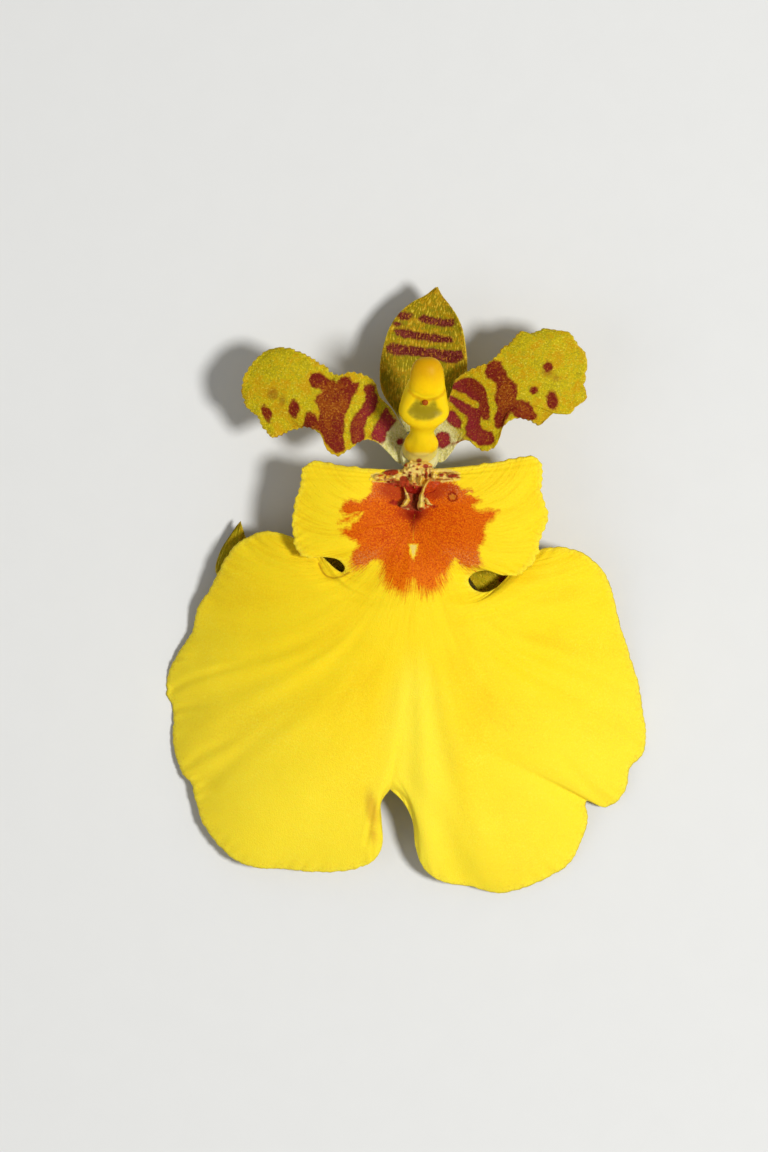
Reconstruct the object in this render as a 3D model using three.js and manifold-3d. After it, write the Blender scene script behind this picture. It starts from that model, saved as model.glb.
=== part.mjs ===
// One oncidium orchid flower, picked with its short stalk and lying on its back.
//
// Millimetres, +Z up. The flower looks up along +Z: its dorsal sepal points to +Y, its lip to -Y. The origin
// is the middle of the flower's outline on the surface that it lies on. It rests on the flat underside of its
// stalk and on the drooping left and right edges of the lip.
//
// Every petal, sepal and the lip is a grid of points on its middle surface, thickened into a closed solid.
// The column and the ovary are lofts. The anther cap, the pollen and the bumps of the callus are ellipsoids.
import * as THREE from "three";
import { mergeVertices } from "three/addons/utils/BufferGeometryUtils.js";
import Module from "manifold-3d";

const BLADE = 0.6; // thickness of the petals, sepals and lip
const GAP = 0.2; // clearance between a piece and what it sits on
const PLEAT = 0.09; // height of the soft pleats that fan over the lip
const WAVE = 0.28; // height of the waves along a petal's edges

const CENTRE_X = 0.85; // axis of the receptacle, which carries every other piece
const CENTRE_Y = 9.0;
const RECEPTACLE_RADIUS = 1.3;
const RECEPTACLE_TOP = 5.1;
const OVARY_RADIUS = 0.95;
const STALK_RADIUS = 0.55;
const STALK_END_Y = -7;
const RIBS = 6; // along the ovary
const RIB_HEIGHT = 0.07;

const LIP_ROWS = 60; // veins in each half of the lip
const LIP_STEPS = 11; // steps along each vein
const BLADE_ROWS = 22;
const BLADE_STEPS = 9;
const COLUMN_SIDES = 20;
const STALK_SIDES = 12;
// Meridians and parallels of each kind of ellipsoid.
const FINE = [20, 12];
const MEDIUM = [16, 10];
const COARSE = [10, 8];

const wasm = await Module();
wasm.setup();

// ---------------------------------------------------------------- curves and grids

// Values at x on the smooth curve through rows of [x, value, value, ...].
function valuesAt(rows, x) {
  const i = Math.min(Math.max(rows.findIndex((row) => row[0] >= x), 1), rows.length - 1);
  const [low, high] = [rows[i - 1], rows[i]];
  const width = high[0] - low[0];
  const f = Math.min(Math.max((x - low[0]) / width, 0), 1);
  const slope = (a, b, k) => (b[k] - a[k]) / (b[0] - a[0]);
  return low.slice(1).map((from, n) => {
    const k = n + 1;
    const rise = slope(low, high, k);
    const slopeIn = i > 1 ? (slope(rows[i - 2], low, k) + rise) / 2 : rise;
    const slopeOut = i + 1 < rows.length ? (slope(high, rows[i + 1], k) + rise) / 2 : rise;
    const bend = f * (1 - f) * width * ((slopeIn - rise) * (1 - f) - (slopeOut - rise) * f);
    return from + (high[k] - from) * f + bend;
  });
}

// The point a share t (0 to 1) of the way along the curve through the knots, with even steps between them.
function through(knots, t) {
  const rows = knots.map((knot, i) => [i / (knots.length - 1), ...knot]);
  return valuesAt(rows, t);
}

// The point a share f of the way from a to b.
const between = (a, b, f) => a.map((v, k) => v + (b[k] - v) * f);

// A grid of (rows + 1) x (steps + 1) points, from a function of two numbers between 0 and 1.
function gridOf(rows, steps, pointAt) {
  const grid = [];
  for (let i = 0; i <= rows; i++) {
    const row = [];
    for (let j = 0; j <= steps; j++) row.push(pointAt(i / rows, j / steps));
    grid.push(row);
  }
  return grid;
}

// ---------------------------------------------------------------- solids

// One closed body from grids that share edges: the sheet's points move down and up along Z by two offsets,
// and its open edges are walled.
function thickened(grids, below = -BLADE / 2, above = BLADE / 2) {
  const points = [];
  const known = new Map();
  const indexOf = (p) => {
    const key = p.map((v) => Math.round(v * 1e4)).join();
    if (!known.has(key)) known.set(key, points.push(p) - 1);
    return known.get(key);
  };
  const faces = grids.flatMap((grid) => facesOf(grid, indexOf));
  const n = points.length;
  const raised = (offset) => points.map(([x, y, z]) => [x, y, z + offset]);
  const triangles = [...faces, ...faces.map(([a, b, c]) => [a + n, c + n, b + n])];
  for (const [p, q] of openEdges(faces)) triangles.push([p, p + n, q + n], [p, q + n, q]);
  return geometryOf([...raised(above), ...raised(below)], triangles);
}

// A grid's triangles, as point numbers, all facing up. Where two corners are one point, a quad is one
// triangle.
function facesOf(grid, indexOf) {
  const quads = [];
  for (let i = 0; i + 1 < grid.length; i++)
    for (let j = 0; j + 1 < grid[i].length; j++)
      quads.push([grid[i][j], grid[i + 1][j], grid[i + 1][j + 1], grid[i][j + 1]]);
  const facesUp = quads.reduce((sum, quad) => sum + upwardArea(quad), 0) > 0;
  const triangles = quads.flatMap((quad) => {
    const [a, b, c, d] = (facesUp ? quad : quad.toReversed()).map(indexOf);
    return [
      [a, b, c],
      [a, c, d],
    ];
  });
  return triangles.filter((triangle) => new Set(triangle).size === 3);
}

// The edges that only one face has.
function openEdges(faces) {
  const open = new Map();
  for (const face of faces)
    for (let k = 0; k < 3; k++) {
      const [p, q] = [face[k], face[(k + 1) % 3]];
      if (open.has(`${q},${p}`)) open.delete(`${q},${p}`);
      else open.set(`${p},${q}`, [p, q]);
    }
  return open.values();
}

// Twice the signed area of a quad seen from above.
function upwardArea([a, b, c, d]) {
  return (c[0] - a[0]) * (d[1] - b[1]) - (d[0] - b[0]) * (c[1] - a[1]);
}

function geometryOf(points, triangles) {
  const geometry = new THREE.BufferGeometry();
  geometry.setAttribute("position", new THREE.Float32BufferAttribute(points.flat(), 3));
  geometry.setIndex(triangles.flat());
  geometry.computeVertexNormals();
  return geometry;
}

// Rings of an oval section along a path of stations [x, y, z, half width, half depth]. Each section stands
// square to the path, or at the ends square to the directions given. Relief is added to both half sizes.
function ringsAlong(stations, sides, { start, end, relief = () => 0 } = {}) {
  const middles = stations.map(([x, y, z]) => new THREE.Vector3(x, y, z));
  const last = middles.length - 1;
  return stations.map(([, , , width, depth], i) => {
    const along = middles[Math.min(i + 1, last)].clone().sub(middles[Math.max(i - 1, 0)]).normalize();
    if (i === 0 && start) along.copy(start);
    if (i === last && end) along.copy(end);
    const across = new THREE.Vector3(1, 0, 0).addScaledVector(along, -along.x).normalize();
    const front = new THREE.Vector3().crossVectors(along, across);
    return Array.from({ length: sides }, (_, k) => {
      const angle = (2 * Math.PI * (k + 0.5)) / sides;
      const extra = relief(i, angle);
      return middles[i]
        .clone()
        .addScaledVector(across, (width + extra) * Math.cos(angle))
        .addScaledVector(front, (depth + extra) * Math.sin(angle));
    });
  });
}

// A closed body through rings of the same count of points, with flat ends.
function lofted(rings) {
  const sides = rings[0].length;
  const points = rings.flat().map((p) => p.toArray());
  const triangles = [];
  for (let r = 0; r + 1 < rings.length; r++)
    for (let k = 0; k < sides; k++) {
      const a = r * sides + k;
      const b = r * sides + ((k + 1) % sides);
      triangles.push([a, b, b + sides], [a, b + sides, a + sides]);
    }
  const middle = (ring) =>
    ring
      .reduce((sum, p) => sum.add(p), new THREE.Vector3())
      .divideScalar(sides)
      .toArray();
  const first = points.push(middle(rings[0])) - 1;
  const last = points.push(middle(rings.at(-1))) - 1;
  for (let k = 0; k < sides; k++) {
    const next = (k + 1) % sides;
    const end = (rings.length - 1) * sides;
    triangles.push([first, next, k], [last, end + k, end + next]);
  }
  return geometryOf(points, triangles);
}

// An ellipsoid with its half sizes in its own axes, tipped about X and then turned about Z.
function ellipsoid({ centre, radii, tip = 0, turn = 0 }, [across, down] = COARSE, grow = 0) {
  const matrix = new THREE.Matrix4().compose(
    new THREE.Vector3(...centre),
    new THREE.Quaternion().setFromEuler(new THREE.Euler(tip, 0, turn, "ZXY")),
    new THREE.Vector3(...radii).addScalar(grow),
  );
  return new THREE.SphereGeometry(1, across, down).rotateX(Math.PI / 2).applyMatrix4(matrix);
}

// A geometry as a manifold-3d solid, and back.
function solid(geometry) {
  const bare = new THREE.BufferGeometry().setAttribute("position", geometry.getAttribute("position"));
  bare.setIndex(geometry.index);
  const merged = mergeVertices(bare, 1e-5);
  return new wasm.Manifold(
    new wasm.Mesh({
      numProp: 3,
      vertProperties: new Float32Array(merged.attributes.position.array),
      triVerts: new Uint32Array(merged.index.array),
    }),
  );
}

function geometryFrom(manifold) {
  const mesh = manifold.getMesh();
  const geometry = new THREE.BufferGeometry();
  geometry.setAttribute("position", new THREE.BufferAttribute(new Float32Array(mesh.vertProperties), 3));
  geometry.setIndex(new THREE.BufferAttribute(new Uint32Array(mesh.triVerts), 1));
  geometry.computeVertexNormals();
  return geometry;
}

const joined = (geometries) => geometries.map(solid).reduce((whole, piece) => whole.add(piece));

// ---------------------------------------------------------------- lip

// The lip's midrib runs from the column down to the notch. Veins leave it on both sides and end on the lip's
// edge: the top edge of a side lobe, round the slit under it, and over the broad middle lobe to the notch.
const MIDRIB = [
  // share of its length, x, y, height
  [0, 0.85, 8.1, 5.6],
  [0.15, 0.5, 5.0, 5.4],
  [0.32, 0.4, 1.4, 5.7],
  [0.45, 0.4, -1.4, 5.75],
  [0.62, 0.25, -5.0, 5.45],
  [0.8, -0.35, -8.9, 4.95],
  [1, -1.1, -13.2, 3.9],
];
const NOTCH = MIDRIB.at(-1).slice(1);

const LEFT_EDGE = [
  [-6.1, 8.67, 5.7], // side lobe, top corner
  [-6.83, 8.2, 5.6],
  [-7.0, 7.2, 5.6],
  [-7.37, 6.07, 5.5],
  [-7.57, 4.8, 5.4],
  [-7.5, 3.4, 5.4],
  [-7.2, 2.6, 5.5],
  [-6.6, 2.2, 5.55],
  [-5.5, 2.25, 5.5],
  [-4.6, 2.1, 5.3],
  [-4.12, 1.55, 5.1], // inner end of the slit
  [-4.25, 1.0, 4.9],
  [-4.85, 1.25, 4.8],
  [-5.4, 1.9, 4.65],
  [-6.1, 2.75, 4.1],
  [-7.1, 3.4, 3.75], // middle lobe, shoulder
  [-9.1, 4.0, 3.4],
  [-10.5, 3.65, 3.0],
  [-11.6, 2.85, 2.7],
  [-12.35, 1.7, 2.4],
  [-13.1, 0.2, 1.9],
  [-13.97, -1.1, 1.4],
  [-14.37, -2.7, 1.0],
  [-15.2, -4.0, 0.75],
  [-15.85, -5.2, 0.5],
  [-16.1, -6.8, 0.15],
  [-15.65, -8.0, 0.45],
  [-15.65, -10.2, 0.6],
  [-15.1, -12.1, 0.9],
  [-14.43, -12.9, 1.1],
  [-14.1, -14.2, 1.2],
  [-13.6, -15.6, 1.3],
  [-12.6, -17.0, 1.4],
  [-11.4, -18.05, 1.5],
  [-9.9, -18.55, 1.6],
  [-8.1, -18.62, 1.75],
  [-6.2, -18.8, 1.85],
  [-3.8, -18.67, 2.1],
  [-2.2, -18.0, 2.5],
  [-1.6, -16.9, 2.8],
  [-1.65, -15.3, 3.2],
  [-1.68, -14.1, 3.6],
  NOTCH,
];
// Position along the edge (as a knot's number), where the vein leaves the midrib, the bend that it passes,
// how far it bulges up, how late along it the blade starts to fall, and the count of pleats up to it.
const LEFT_VEINS = [
  [0, 0, -2.6, 7.9, 0.4, 1, 0],
  [4, 0.09, -3.6, 6.1, 0.5, 1, 0.6],
  [7, 0.19, -3.2, 3.5, 0.3, 1, 1],
  [9, 0.26, -2.1, 2.5, 0.1, 1.1, 1],
  [10, 0.3, -1.9, 1.7, 0, 1.2, 1],
  [11, 0.335, -2.5, 0.3, 0, 1.3, 1],
  [12, 0.36, -3.3, -0.5, 0, 1.3, 1],
  [13, 0.38, -3.8, -1.0, 0, 1.4, 1],
  [15, 0.415, -4.6, -1.8, 0.05, 1.5, 1],
  [17, 0.44, -5.6, -2.4, 0.15, 1.7, 1.5],
  [19, 0.475, -6.0, -2.5, 0.25, 1.7, 2],
  [25, 0.61, -8.0, -5.5, 0.35, 1.7, 3.5],
  [31, 0.77, -7.0, -11.2, 0.25, 1.7, 5],
  [37, 0.9, -3.1, -14.6, 0.1, 1.6, 6],
  [39, 0.945, -2.4, -14.2, 0, 1.5, 6],
  [41, 0.985, -1.6, -13.5, 0, 1.2, 6],
  [42, 1, -1.1, -13.2, 0, 1, 6],
];
const RIGHT_EDGE = [
  [8.23, 9.0, 5.7], // side lobe, top corner
  [8.85, 8.6, 5.6],
  [8.97, 7.4, 5.5],
  [8.97, 6.4, 5.4],
  [9.37, 5.2, 5.3],
  [9.2, 4.2, 5.3],
  [8.8, 3.3, 5.4],
  [8.75, 2.6, 5.45],
  [8.2, 1.65, 5.5],
  [7.4, 1.1, 5.5],
  [6.4, 1.05, 5.5],
  [5.3, 1.35, 5.4],
  [4.5, 1.2, 5.25],
  [4.1, 0.7, 5.15], // inner end of the slit
  [4.5, 0.1, 5.0],
  [5.3, -0.05, 4.75],
  [6.1, 0.35, 4.4],
  [7.0, 1.3, 3.95],
  [8.0, 2.2, 3.7], // middle lobe, shoulder
  [9.2, 2.85, 3.6],
  [10.6, 2.9, 3.4],
  [11.9, 2.45, 3.0],
  [13.1, 1.4, 2.5],
  [13.75, 0.0, 2.0],
  [14.25, -2.0, 1.4],
  [14.97, -4.3, 0.9],
  [15.6, -6.3, 0.55],
  [15.9, -8.2, 0.35],
  [16.1, -9.6, 0.15],
  [15.85, -11.0, 0.45],
  [15.05, -11.8, 0.65],
  [14.8, -13.0, 0.8],
  [14.2, -14.05, 0.9],
  [13.2, -14.5, 1.0],
  [12.05, -14.1, 1.2],
  [12.15, -15.4, 1.1],
  [11.6, -17.1, 0.9],
  [10.8, -18.4, 0.85],
  [9.3, -19.3, 0.85],
  [7.6, -20.0, 0.85],
  [6.0, -20.25, 0.95],
  [4.3, -19.8, 1.2],
  [2.5, -19.5, 1.6],
  [1.2, -18.6, 2.1],
  [0.6, -17.1, 2.6],
  [0.4, -15.4, 3.2],
  [-0.2, -14.1, 3.6],
  NOTCH,
];
const RIGHT_VEINS = [
  [0, 0, 4.0, 8.1, 0.3, 1, 0],
  [4, 0.09, 4.9, 6.1, 0.45, 1, 0.6],
  [8, 0.2, 4.3, 3.3, 0.25, 1, 1],
  [11, 0.28, 2.9, 1.9, 0.1, 1.1, 1],
  [13, 0.34, 2.3, 0.9, 0, 1.2, 1],
  [14, 0.365, 3.0, -0.4, 0, 1.25, 1],
  [15, 0.39, 3.9, -1.3, 0, 1.3, 1],
  [18, 0.43, 5.3, -2.2, 0.05, 1.4, 1],
  [20, 0.46, 5.8, -2.5, 0.15, 1.55, 1.5],
  [23, 0.51, 6.3, -2.6, 0.25, 1.7, 2.2],
  [28, 0.65, 8.2, -6.5, 0.35, 1.7, 3],
  [32, 0.75, 7.2, -10.0, 0.3, 1.7, 3.5],
  [34, 0.79, 6.0, -10.9, 0.25, 1.7, 4],
  [38, 0.87, 4.0, -13.8, 0.15, 1.7, 5],
  [42, 0.93, 1.2, -14.4, 0.1, 1.6, 6],
  [44, 0.96, 0.8, -13.9, 0, 1.5, 6],
  [45, 0.975, 0.45, -13.8, 0, 1.4, 6],
  [46, 0.99, -0.3, -13.3, 0, 1.2, 6],
  [47, 1, -1.1, -13.2, 0, 1, 6],
];

// Middle surface of one half of the lip: s runs round the edge, t runs out along a vein. Where the edge
// droops to the surface under the flower, it lies flat on it.
function lipPoint(edge, veins, s, t) {
  const [share, bendX, bendY, bulge, late, pleats] = valuesAt(veins, s * (edge.length - 1));
  const root = valuesAt(MIDRIB, share);
  const end = through(edge, s);
  const bezier = (a, b, c) => a * (1 - t) ** 2 + 2 * b * t * (1 - t) + c * t * t;
  const pleat = PLEAT * Math.sin(2 * Math.PI * pleats) * 4 * t * t * (1 - 0.9 * t);
  const bump = 16 * bulge * (t * (1 - t)) ** 2;
  const height = root[2] + (end[2] - root[2]) * t ** late + bump + pleat;
  return [bezier(root[0], bendX, end[0]), bezier(root[1], bendY, end[1]), Math.max(height, BLADE / 2)];
}

// The two halves of the lip's middle surface. They share the points of the midrib.
function lipGrids(rows = LIP_ROWS, steps = LIP_STEPS) {
  const left = gridOf(rows, steps, (s, t) => lipPoint(LEFT_EDGE, LEFT_VEINS, s, t));
  const knotsByShare = RIGHT_VEINS.map(([knot, share]) => [share, knot / (RIGHT_EDGE.length - 1)]);
  const opposite = (s) => {
    const [share] = valuesAt(LEFT_VEINS, s * (LEFT_EDGE.length - 1));
    return valuesAt(knotsByShare, share)[0];
  };
  const right = gridOf(rows, steps, (s, t) => lipPoint(RIGHT_EDGE, RIGHT_VEINS, opposite(s), t));
  right.forEach((vein, i) => (vein[0] = left[i][0]));
  right[rows] = left[rows];
  return [left, right];
}

// ---------------------------------------------------------------- callus

// Pads, warts and teeth of the callus: x, y, half length, half width, height above the lip, turn in degrees.
const CALLUS = [
  [0.8, 7.2, 1.35, 1.5, 0.42, 0], // pads that carry the warts
  [-1.0, 7.65, 1.45, 0.5, 0.4, -10],
  [2.4, 7.7, 1.3, 0.5, 0.4, 6],
  [0.78, 7.9, 1.15, 0.48, 0.85, 0], // bar under the column
  [-0.75, 7.75, 0.85, 0.36, 0.55, -12],
  [-1.75, 7.5, 0.6, 0.3, 0.42, -8],
  [2.3, 7.8, 0.8, 0.38, 0.52, 8],
  [0.25, 7.4, 0.34, 0.48, 0.95, 0], // knobs
  [0.88, 7.3, 0.32, 0.48, 0.95, 0],
  [1.7, 7.55, 0.45, 0.52, 0.8, 0],
  [-0.75, 7.1, 0.7, 0.24, 0.42, -14],
  [-0.02, 6.4, 0.28, 0.95, 0.95, 6], // left tooth and its foot
  [-0.2, 5.75, 0.42, 0.38, 1.05, 20],
  [1.05, 6.5, 0.27, 1.1, 1.0, -6], // right tooth and its feet
  [0.9, 5.7, 0.42, 0.52, 1.2, 0],
  [1.4, 5.92, 0.36, 0.34, 0.9, 0],
];

// The callus stands on the lip's upper face, which cuts the lower half of each bump away.
function callusGeometry() {
  const seat = BLADE / 2 + GAP;
  const places = lipGrids(90, 30).flat(2);
  const lipHeight = (x, y) => {
    const distance = (p) => Math.hypot(p[0] - x, p[1] - y);
    return places.reduce((best, p) => (distance(p) < distance(best) ? p : best))[2];
  };
  const bumps = CALLUS.map(([x, y, length, width, height, turn]) =>
    ellipsoid({
      centre: [x, y, lipHeight(x, y) + seat],
      radii: [length, width, height],
      turn: THREE.MathUtils.degToRad(turn),
    }),
  );
  const deep = 4; // past the lower half of every bump
  return geometryFrom(joined(bumps).subtract(solid(thickened(lipGrids(), seat - deep, seat))));
}

// ---------------------------------------------------------------- petals and sepals

// edges: a point on each edge, x, y, x, y, from base to tip. end: points of the rounded end, from the first
// edge round to the second. heights: of the blade's middle line. cup: how far its edges rise above that line.
const BLADES = {
  petal_left: {
    edges: [
      [-0.62, 9.75, -0.5, 8.5],
      [-0.72, 10.9, -0.95, 8.8],
      [-1.1, 12.1, -1.4, 9.4],
      [-1.85, 12.95, -2.05, 9.9],
      [-2.1, 13.85, -2.9, 10.0],
      [-2.85, 14.35, -3.65, 9.5],
      [-3.8, 14.5, -4.55, 8.97],
      [-4.7, 14.3, -5.3, 9.4],
      [-5.4, 14.9, -5.75, 10.4],
      [-6.3, 15.4, -6.6, 10.85],
      [-7.43, 16.0, -7.6, 10.65],
      [-8.4, 16.2, -8.9, 10.15],
    ],
    end: [
      [-9.4, 15.9],
      [-10.25, 15.1],
      [-10.85, 14.1],
      [-10.9, 13.0],
      [-10.5, 12.05],
      [-9.85, 11.6],
      [-9.5, 10.8],
    ],
    heights: [4.4, 4.6, 5.0, 5.4, 5.5, 5.2],
    cup: 0.5,
  },
  petal_right: {
    edges: [
      [2.3, 9.75, 2.2, 8.5],
      [2.45, 10.8, 2.6, 8.75],
      [2.75, 12.1, 3.0, 9.25],
      [2.95, 13.2, 3.4, 9.8],
      [3.15, 13.9, 4.0, 10.0],
      [3.7, 14.4, 4.55, 9.6],
      [4.5, 14.8, 5.05, 9.3],
      [5.3, 15.1, 5.75, 9.45],
      [5.9, 15.5, 6.15, 10.1],
      [6.3, 16.05, 6.45, 10.95],
      [7.0, 16.6, 7.3, 11.45],
      [7.6, 17.2, 8.1, 11.3],
      [8.3, 17.1, 8.75, 11.0],
      [9.1, 17.45, 9.0, 11.1],
    ],
    end: [
      [10.0, 17.3],
      [10.8, 17.15],
      [11.4, 16.3],
      [11.9, 15.7],
      [11.95, 14.8],
      [11.8, 13.7],
      [11.9, 12.8],
      [11.35, 12.3],
      [10.7, 11.7],
      [10.05, 11.95],
      [9.5, 11.6],
    ],
    heights: [4.4, 4.6, 5.0, 5.5, 5.6, 5.3],
    cup: 0.5,
  },
  dorsal_sepal: {
    edges: [
      [0.0, 10.55, 1.7, 10.55],
      [-0.75, 11.9, 2.75, 11.9],
      [-1.5, 13.0, 3.5, 13.05],
      [-1.77, 13.9, 3.95, 14.05],
      [-1.77, 15.05, 4.05, 15.15],
      [-1.57, 16.2, 3.95, 16.3],
      [-1.2, 17.4, 3.75, 17.4],
      [-0.6, 18.4, 3.35, 18.35],
      [0.3, 19.2, 2.85, 19.1],
      [1.25, 19.7, 2.35, 19.75],
      [1.85, 20.2, 2.15, 20.25],
    ],
    end: [],
    heights: [3.4, 3.2, 2.9, 2.9, 3.2, 3.9],
    cup: 0.85,
  },
  lateral_sepal_left: {
    edges: [
      [-0.75, 8.1, 0.3, 7.35],
      [-2.1, 7.3, -1.1, 5.1],
      [-3.8, 5.9, -3.1, 2.2],
      [-5.8, 4.5, -5.4, 0.3],
      [-7.9, 3.4, -7.9, -0.4],
      [-9.6, 3.2, -10.3, -0.2],
      [-10.6, 3.4, -12.6, 0.9],
      [-10.95, 4.2, -12.55, 2.5],
      [-11.1, 4.7, -11.4, 4.35],
    ],
    end: [],
    heights: [3.4, 3.1, 2.5, 1.8, 1.25, 1.3],
    cup: 0.15,
  },
  lateral_sepal_right: {
    edges: [
      [1.4, 7.35, 2.45, 8.1],
      [2.7, 5.1, 3.8, 7.3],
      [3.3, 2.6, 5.5, 5.9],
      [4.8, 0.0, 7.3, 4.3],
      [6.7, -1.5, 9.1, 2.5],
      [8.9, -2.3, 10.7, 1.5],
      [10.8, -2.0, 11.8, 0.4],
      [12.1, -1.3, 12.5, -0.4],
    ],
    end: [],
    heights: [3.4, 3.2, 2.7, 2.1, 1.4, 0.9],
    cup: 0.15,
  },
};

// Middle surface of a blade: v runs from base to tip, u from one edge to the other.
function bladePoint({ edges, end, heights, cup }, v, u) {
  const [ax, ay, bx, by] = through(edges, v);
  const flat = between([ax, ay], [bx, by], u);
  if (end.length) {
    const corners = [edges.at(-1).slice(0, 2), ...end, edges.at(-1).slice(2)];
    const chord = between(corners[0], corners.at(-1), u);
    const round = through(corners, u);
    flat.forEach((_, k) => (flat[k] += v ** 4 * (round[k] - chord[k])));
  }
  const middleLine = heights.map((height) => [height]);
  const side = (2 * u - 1) ** 2;
  const wave = WAVE * Math.sin(Math.PI * (5 * v + u)) * side * v;
  const cupped = cup * side * Math.sin(Math.PI * Math.min(1, 1.1 * v));
  return [...flat, through(middleLine, v)[0] + cupped + wave];
}

function bladeGeometry(blade) {
  return thickened([gridOf(BLADE_ROWS, BLADE_STEPS, (v, u) => bladePoint(blade, v, u))]);
}

// ---------------------------------------------------------------- column, anther cap and pollen

// The column leans back over the dorsal sepal: middle (x, y, z), half width across, half depth front to back.
const COLUMN = [
  [0.85, 9.45, 5.3, 1.3, 1.05], // foot
  [0.86, 9.6, 5.75, 1.15, 0.95],
  [0.88, 9.8, 6.2, 1.15, 0.92],
  [0.92, 10.1, 6.8, 1.15, 0.95], // knob under the waist
  [0.98, 10.6, 7.5, 0.86, 0.82], // waist
  [1.04, 11.2, 8.05, 1.0, 0.9],
  [1.1, 11.9, 8.55, 1.55, 1.15], // shoulders beside the stigma
  [1.17, 12.7, 9.0, 1.66, 1.25],
  [1.25, 13.5, 9.3, 1.5, 1.1],
  [1.32, 14.2, 9.5, 1.2, 0.85],
  [1.38, 14.8, 9.65, 0.8, 0.55],
];
const STIGMA = { centre: [1.22, 12.0, 9.85], radii: [1.2, 0.8, 0.7], tip: 0.5 };
const CAP = { centre: [1.4, 14.0, 10.05], radii: [1.0, 1.45, 0.85], tip: 0.42 };
// Two pollen masses under the cap, on a strap that ends in the sticky pad showing over the stigma.
const POLLEN = [
  { centre: [1.14, 13.85, 9.8], radii: [0.25, 0.42, 0.24], tip: 0.42 },
  { centre: [1.62, 13.85, 9.8], radii: [0.25, 0.42, 0.24], tip: 0.42 },
  { centre: [1.35, 13.25, 9.53], radii: [0.2, 0.75, 0.13], tip: 0.47 },
  { centre: [1.3, 12.6, 9.25], radii: [0.23, 0.24, 0.2], tip: 0.42 },
];
const pollenRoom = () => POLLEN.map((piece) => ellipsoid(piece, COARSE, GAP));

function columnGeometry() {
  const body = lofted(ringsAlong(COLUMN, COLUMN_SIDES, { start: new THREE.Vector3(0, 0, 1) }));
  const hollows = [ellipsoid(STIGMA, MEDIUM), ellipsoid(CAP, FINE, GAP), ...pollenRoom()];
  return geometryFrom(solid(body).subtract(joined(hollows)));
}

function capGeometry() {
  return geometryFrom(solid(ellipsoid(CAP, FINE)).subtract(joined(pollenRoom())));
}

function pollenGeometry() {
  return geometryFrom(joined(POLLEN.map((piece) => ellipsoid(piece))));
}

// ---------------------------------------------------------------- ovary and stalk

// The stalk lies along the surface, thickens into the ribbed ovary and turns up to the receptacle: y, z,
// radius.
const STALK = [
  [STALK_END_Y, STALK_RADIUS, STALK_RADIUS],
  [-1.0, STALK_RADIUS, STALK_RADIUS],
  [2.0, 0.68, 0.68],
  [4.5, 0.92, 0.86],
  [6.4, 1.15, OVARY_RADIUS],
  [7.8, 1.75, OVARY_RADIUS],
  [8.7, 2.7, 1.05],
  [CENTRE_Y, 3.7, 1.2],
  [CENTRE_Y, 4.4, RECEPTACLE_RADIUS],
  [CENTRE_Y, RECEPTACLE_TOP, RECEPTACLE_RADIUS],
];

function stalkGeometry() {
  // The section's flats, and not its corners, lie at the radius, so that the straight stretch rests on one.
  const toCorner = 1 / Math.cos(Math.PI / STALK_SIDES);
  const stations = STALK.map(([y, z, radius]) => [CENTRE_X, y, z, radius * toCorner, radius * toCorner]);
  const isOvary = (i) => i > 2 && i < STALK.length - 3;
  const relief = (i, angle) => (isOvary(i) ? RIB_HEIGHT * Math.cos(RIBS * angle) : 0);
  return lofted(ringsAlong(stations, STALK_SIDES, { relief }));
}

// ---------------------------------------------------------------- the flower

const COLOURS = {
  lip: [0xf9dc33, 0.55],
  callus: [0xe2c878, 0.5],
  column: [0xefc62a, 0.42],
  anther_cap: [0xf2b90f, 0.38],
  pollinarium: [0xa8631c, 0.5],
  dorsal_sepal: [0x9a8518, 0.55],
  lateral_sepal_left: [0x8d7d1e, 0.55],
  lateral_sepal_right: [0x8d7d1e, 0.55],
  petal_left: [0xc2a224, 0.55],
  petal_right: [0xc8ab25, 0.55],
  ovary_and_stalk: [0x93a552, 0.5],
};

const flower = new THREE.Group();

function add(name, geometry) {
  const [color, roughness] = COLOURS[name];
  const mesh = new THREE.Mesh(geometry, new THREE.MeshStandardMaterial({ color, roughness, metalness: 0 }));
  mesh.name = name;
  flower.add(mesh);
}

add("ovary_and_stalk", stalkGeometry());
for (const [name, blade] of Object.entries(BLADES)) add(name, bladeGeometry(blade));
add("lip", thickened(lipGrids()));
add("callus", callusGeometry());
add("column", columnGeometry());
add("anther_cap", capGeometry());
add("pollinarium", pollenGeometry());

export default flower;
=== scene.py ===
"""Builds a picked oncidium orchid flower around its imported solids, piece by piece.

Shapes are worked out in millimetres: +X across the flower, +Y towards its dorsal sepal, +Z up out of its
face. Each piece's mesh is scaled to metres when it is finished. Markings are drawn on enlarged sheets of a
chart that shows the flower as seen from the camera.
"""

import math
from functools import partial, reduce

import bmesh
import bpy
import numpy as np
from bpy.props import FloatProperty, FloatVectorProperty, IntProperty, PointerProperty
from mathutils import Euler, Matrix, Vector
from mathutils.kdtree import KDTree


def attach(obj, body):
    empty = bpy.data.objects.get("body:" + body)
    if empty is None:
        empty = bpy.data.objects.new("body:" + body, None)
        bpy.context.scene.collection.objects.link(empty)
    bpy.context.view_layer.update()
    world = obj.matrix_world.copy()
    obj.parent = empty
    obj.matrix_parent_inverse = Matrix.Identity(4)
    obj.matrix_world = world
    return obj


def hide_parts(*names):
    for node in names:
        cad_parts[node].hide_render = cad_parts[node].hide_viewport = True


bl_info = {
    "name": "Oncidium Orchid Flower",
    "version": (1, 0, 0),
    "blender": (4, 5, 0),
    "location": "3D View > Sidebar > Orchid",
    "description": "Builds a picked oncidium orchid flower from its pieces",
    "category": "Add Mesh",
}

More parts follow.
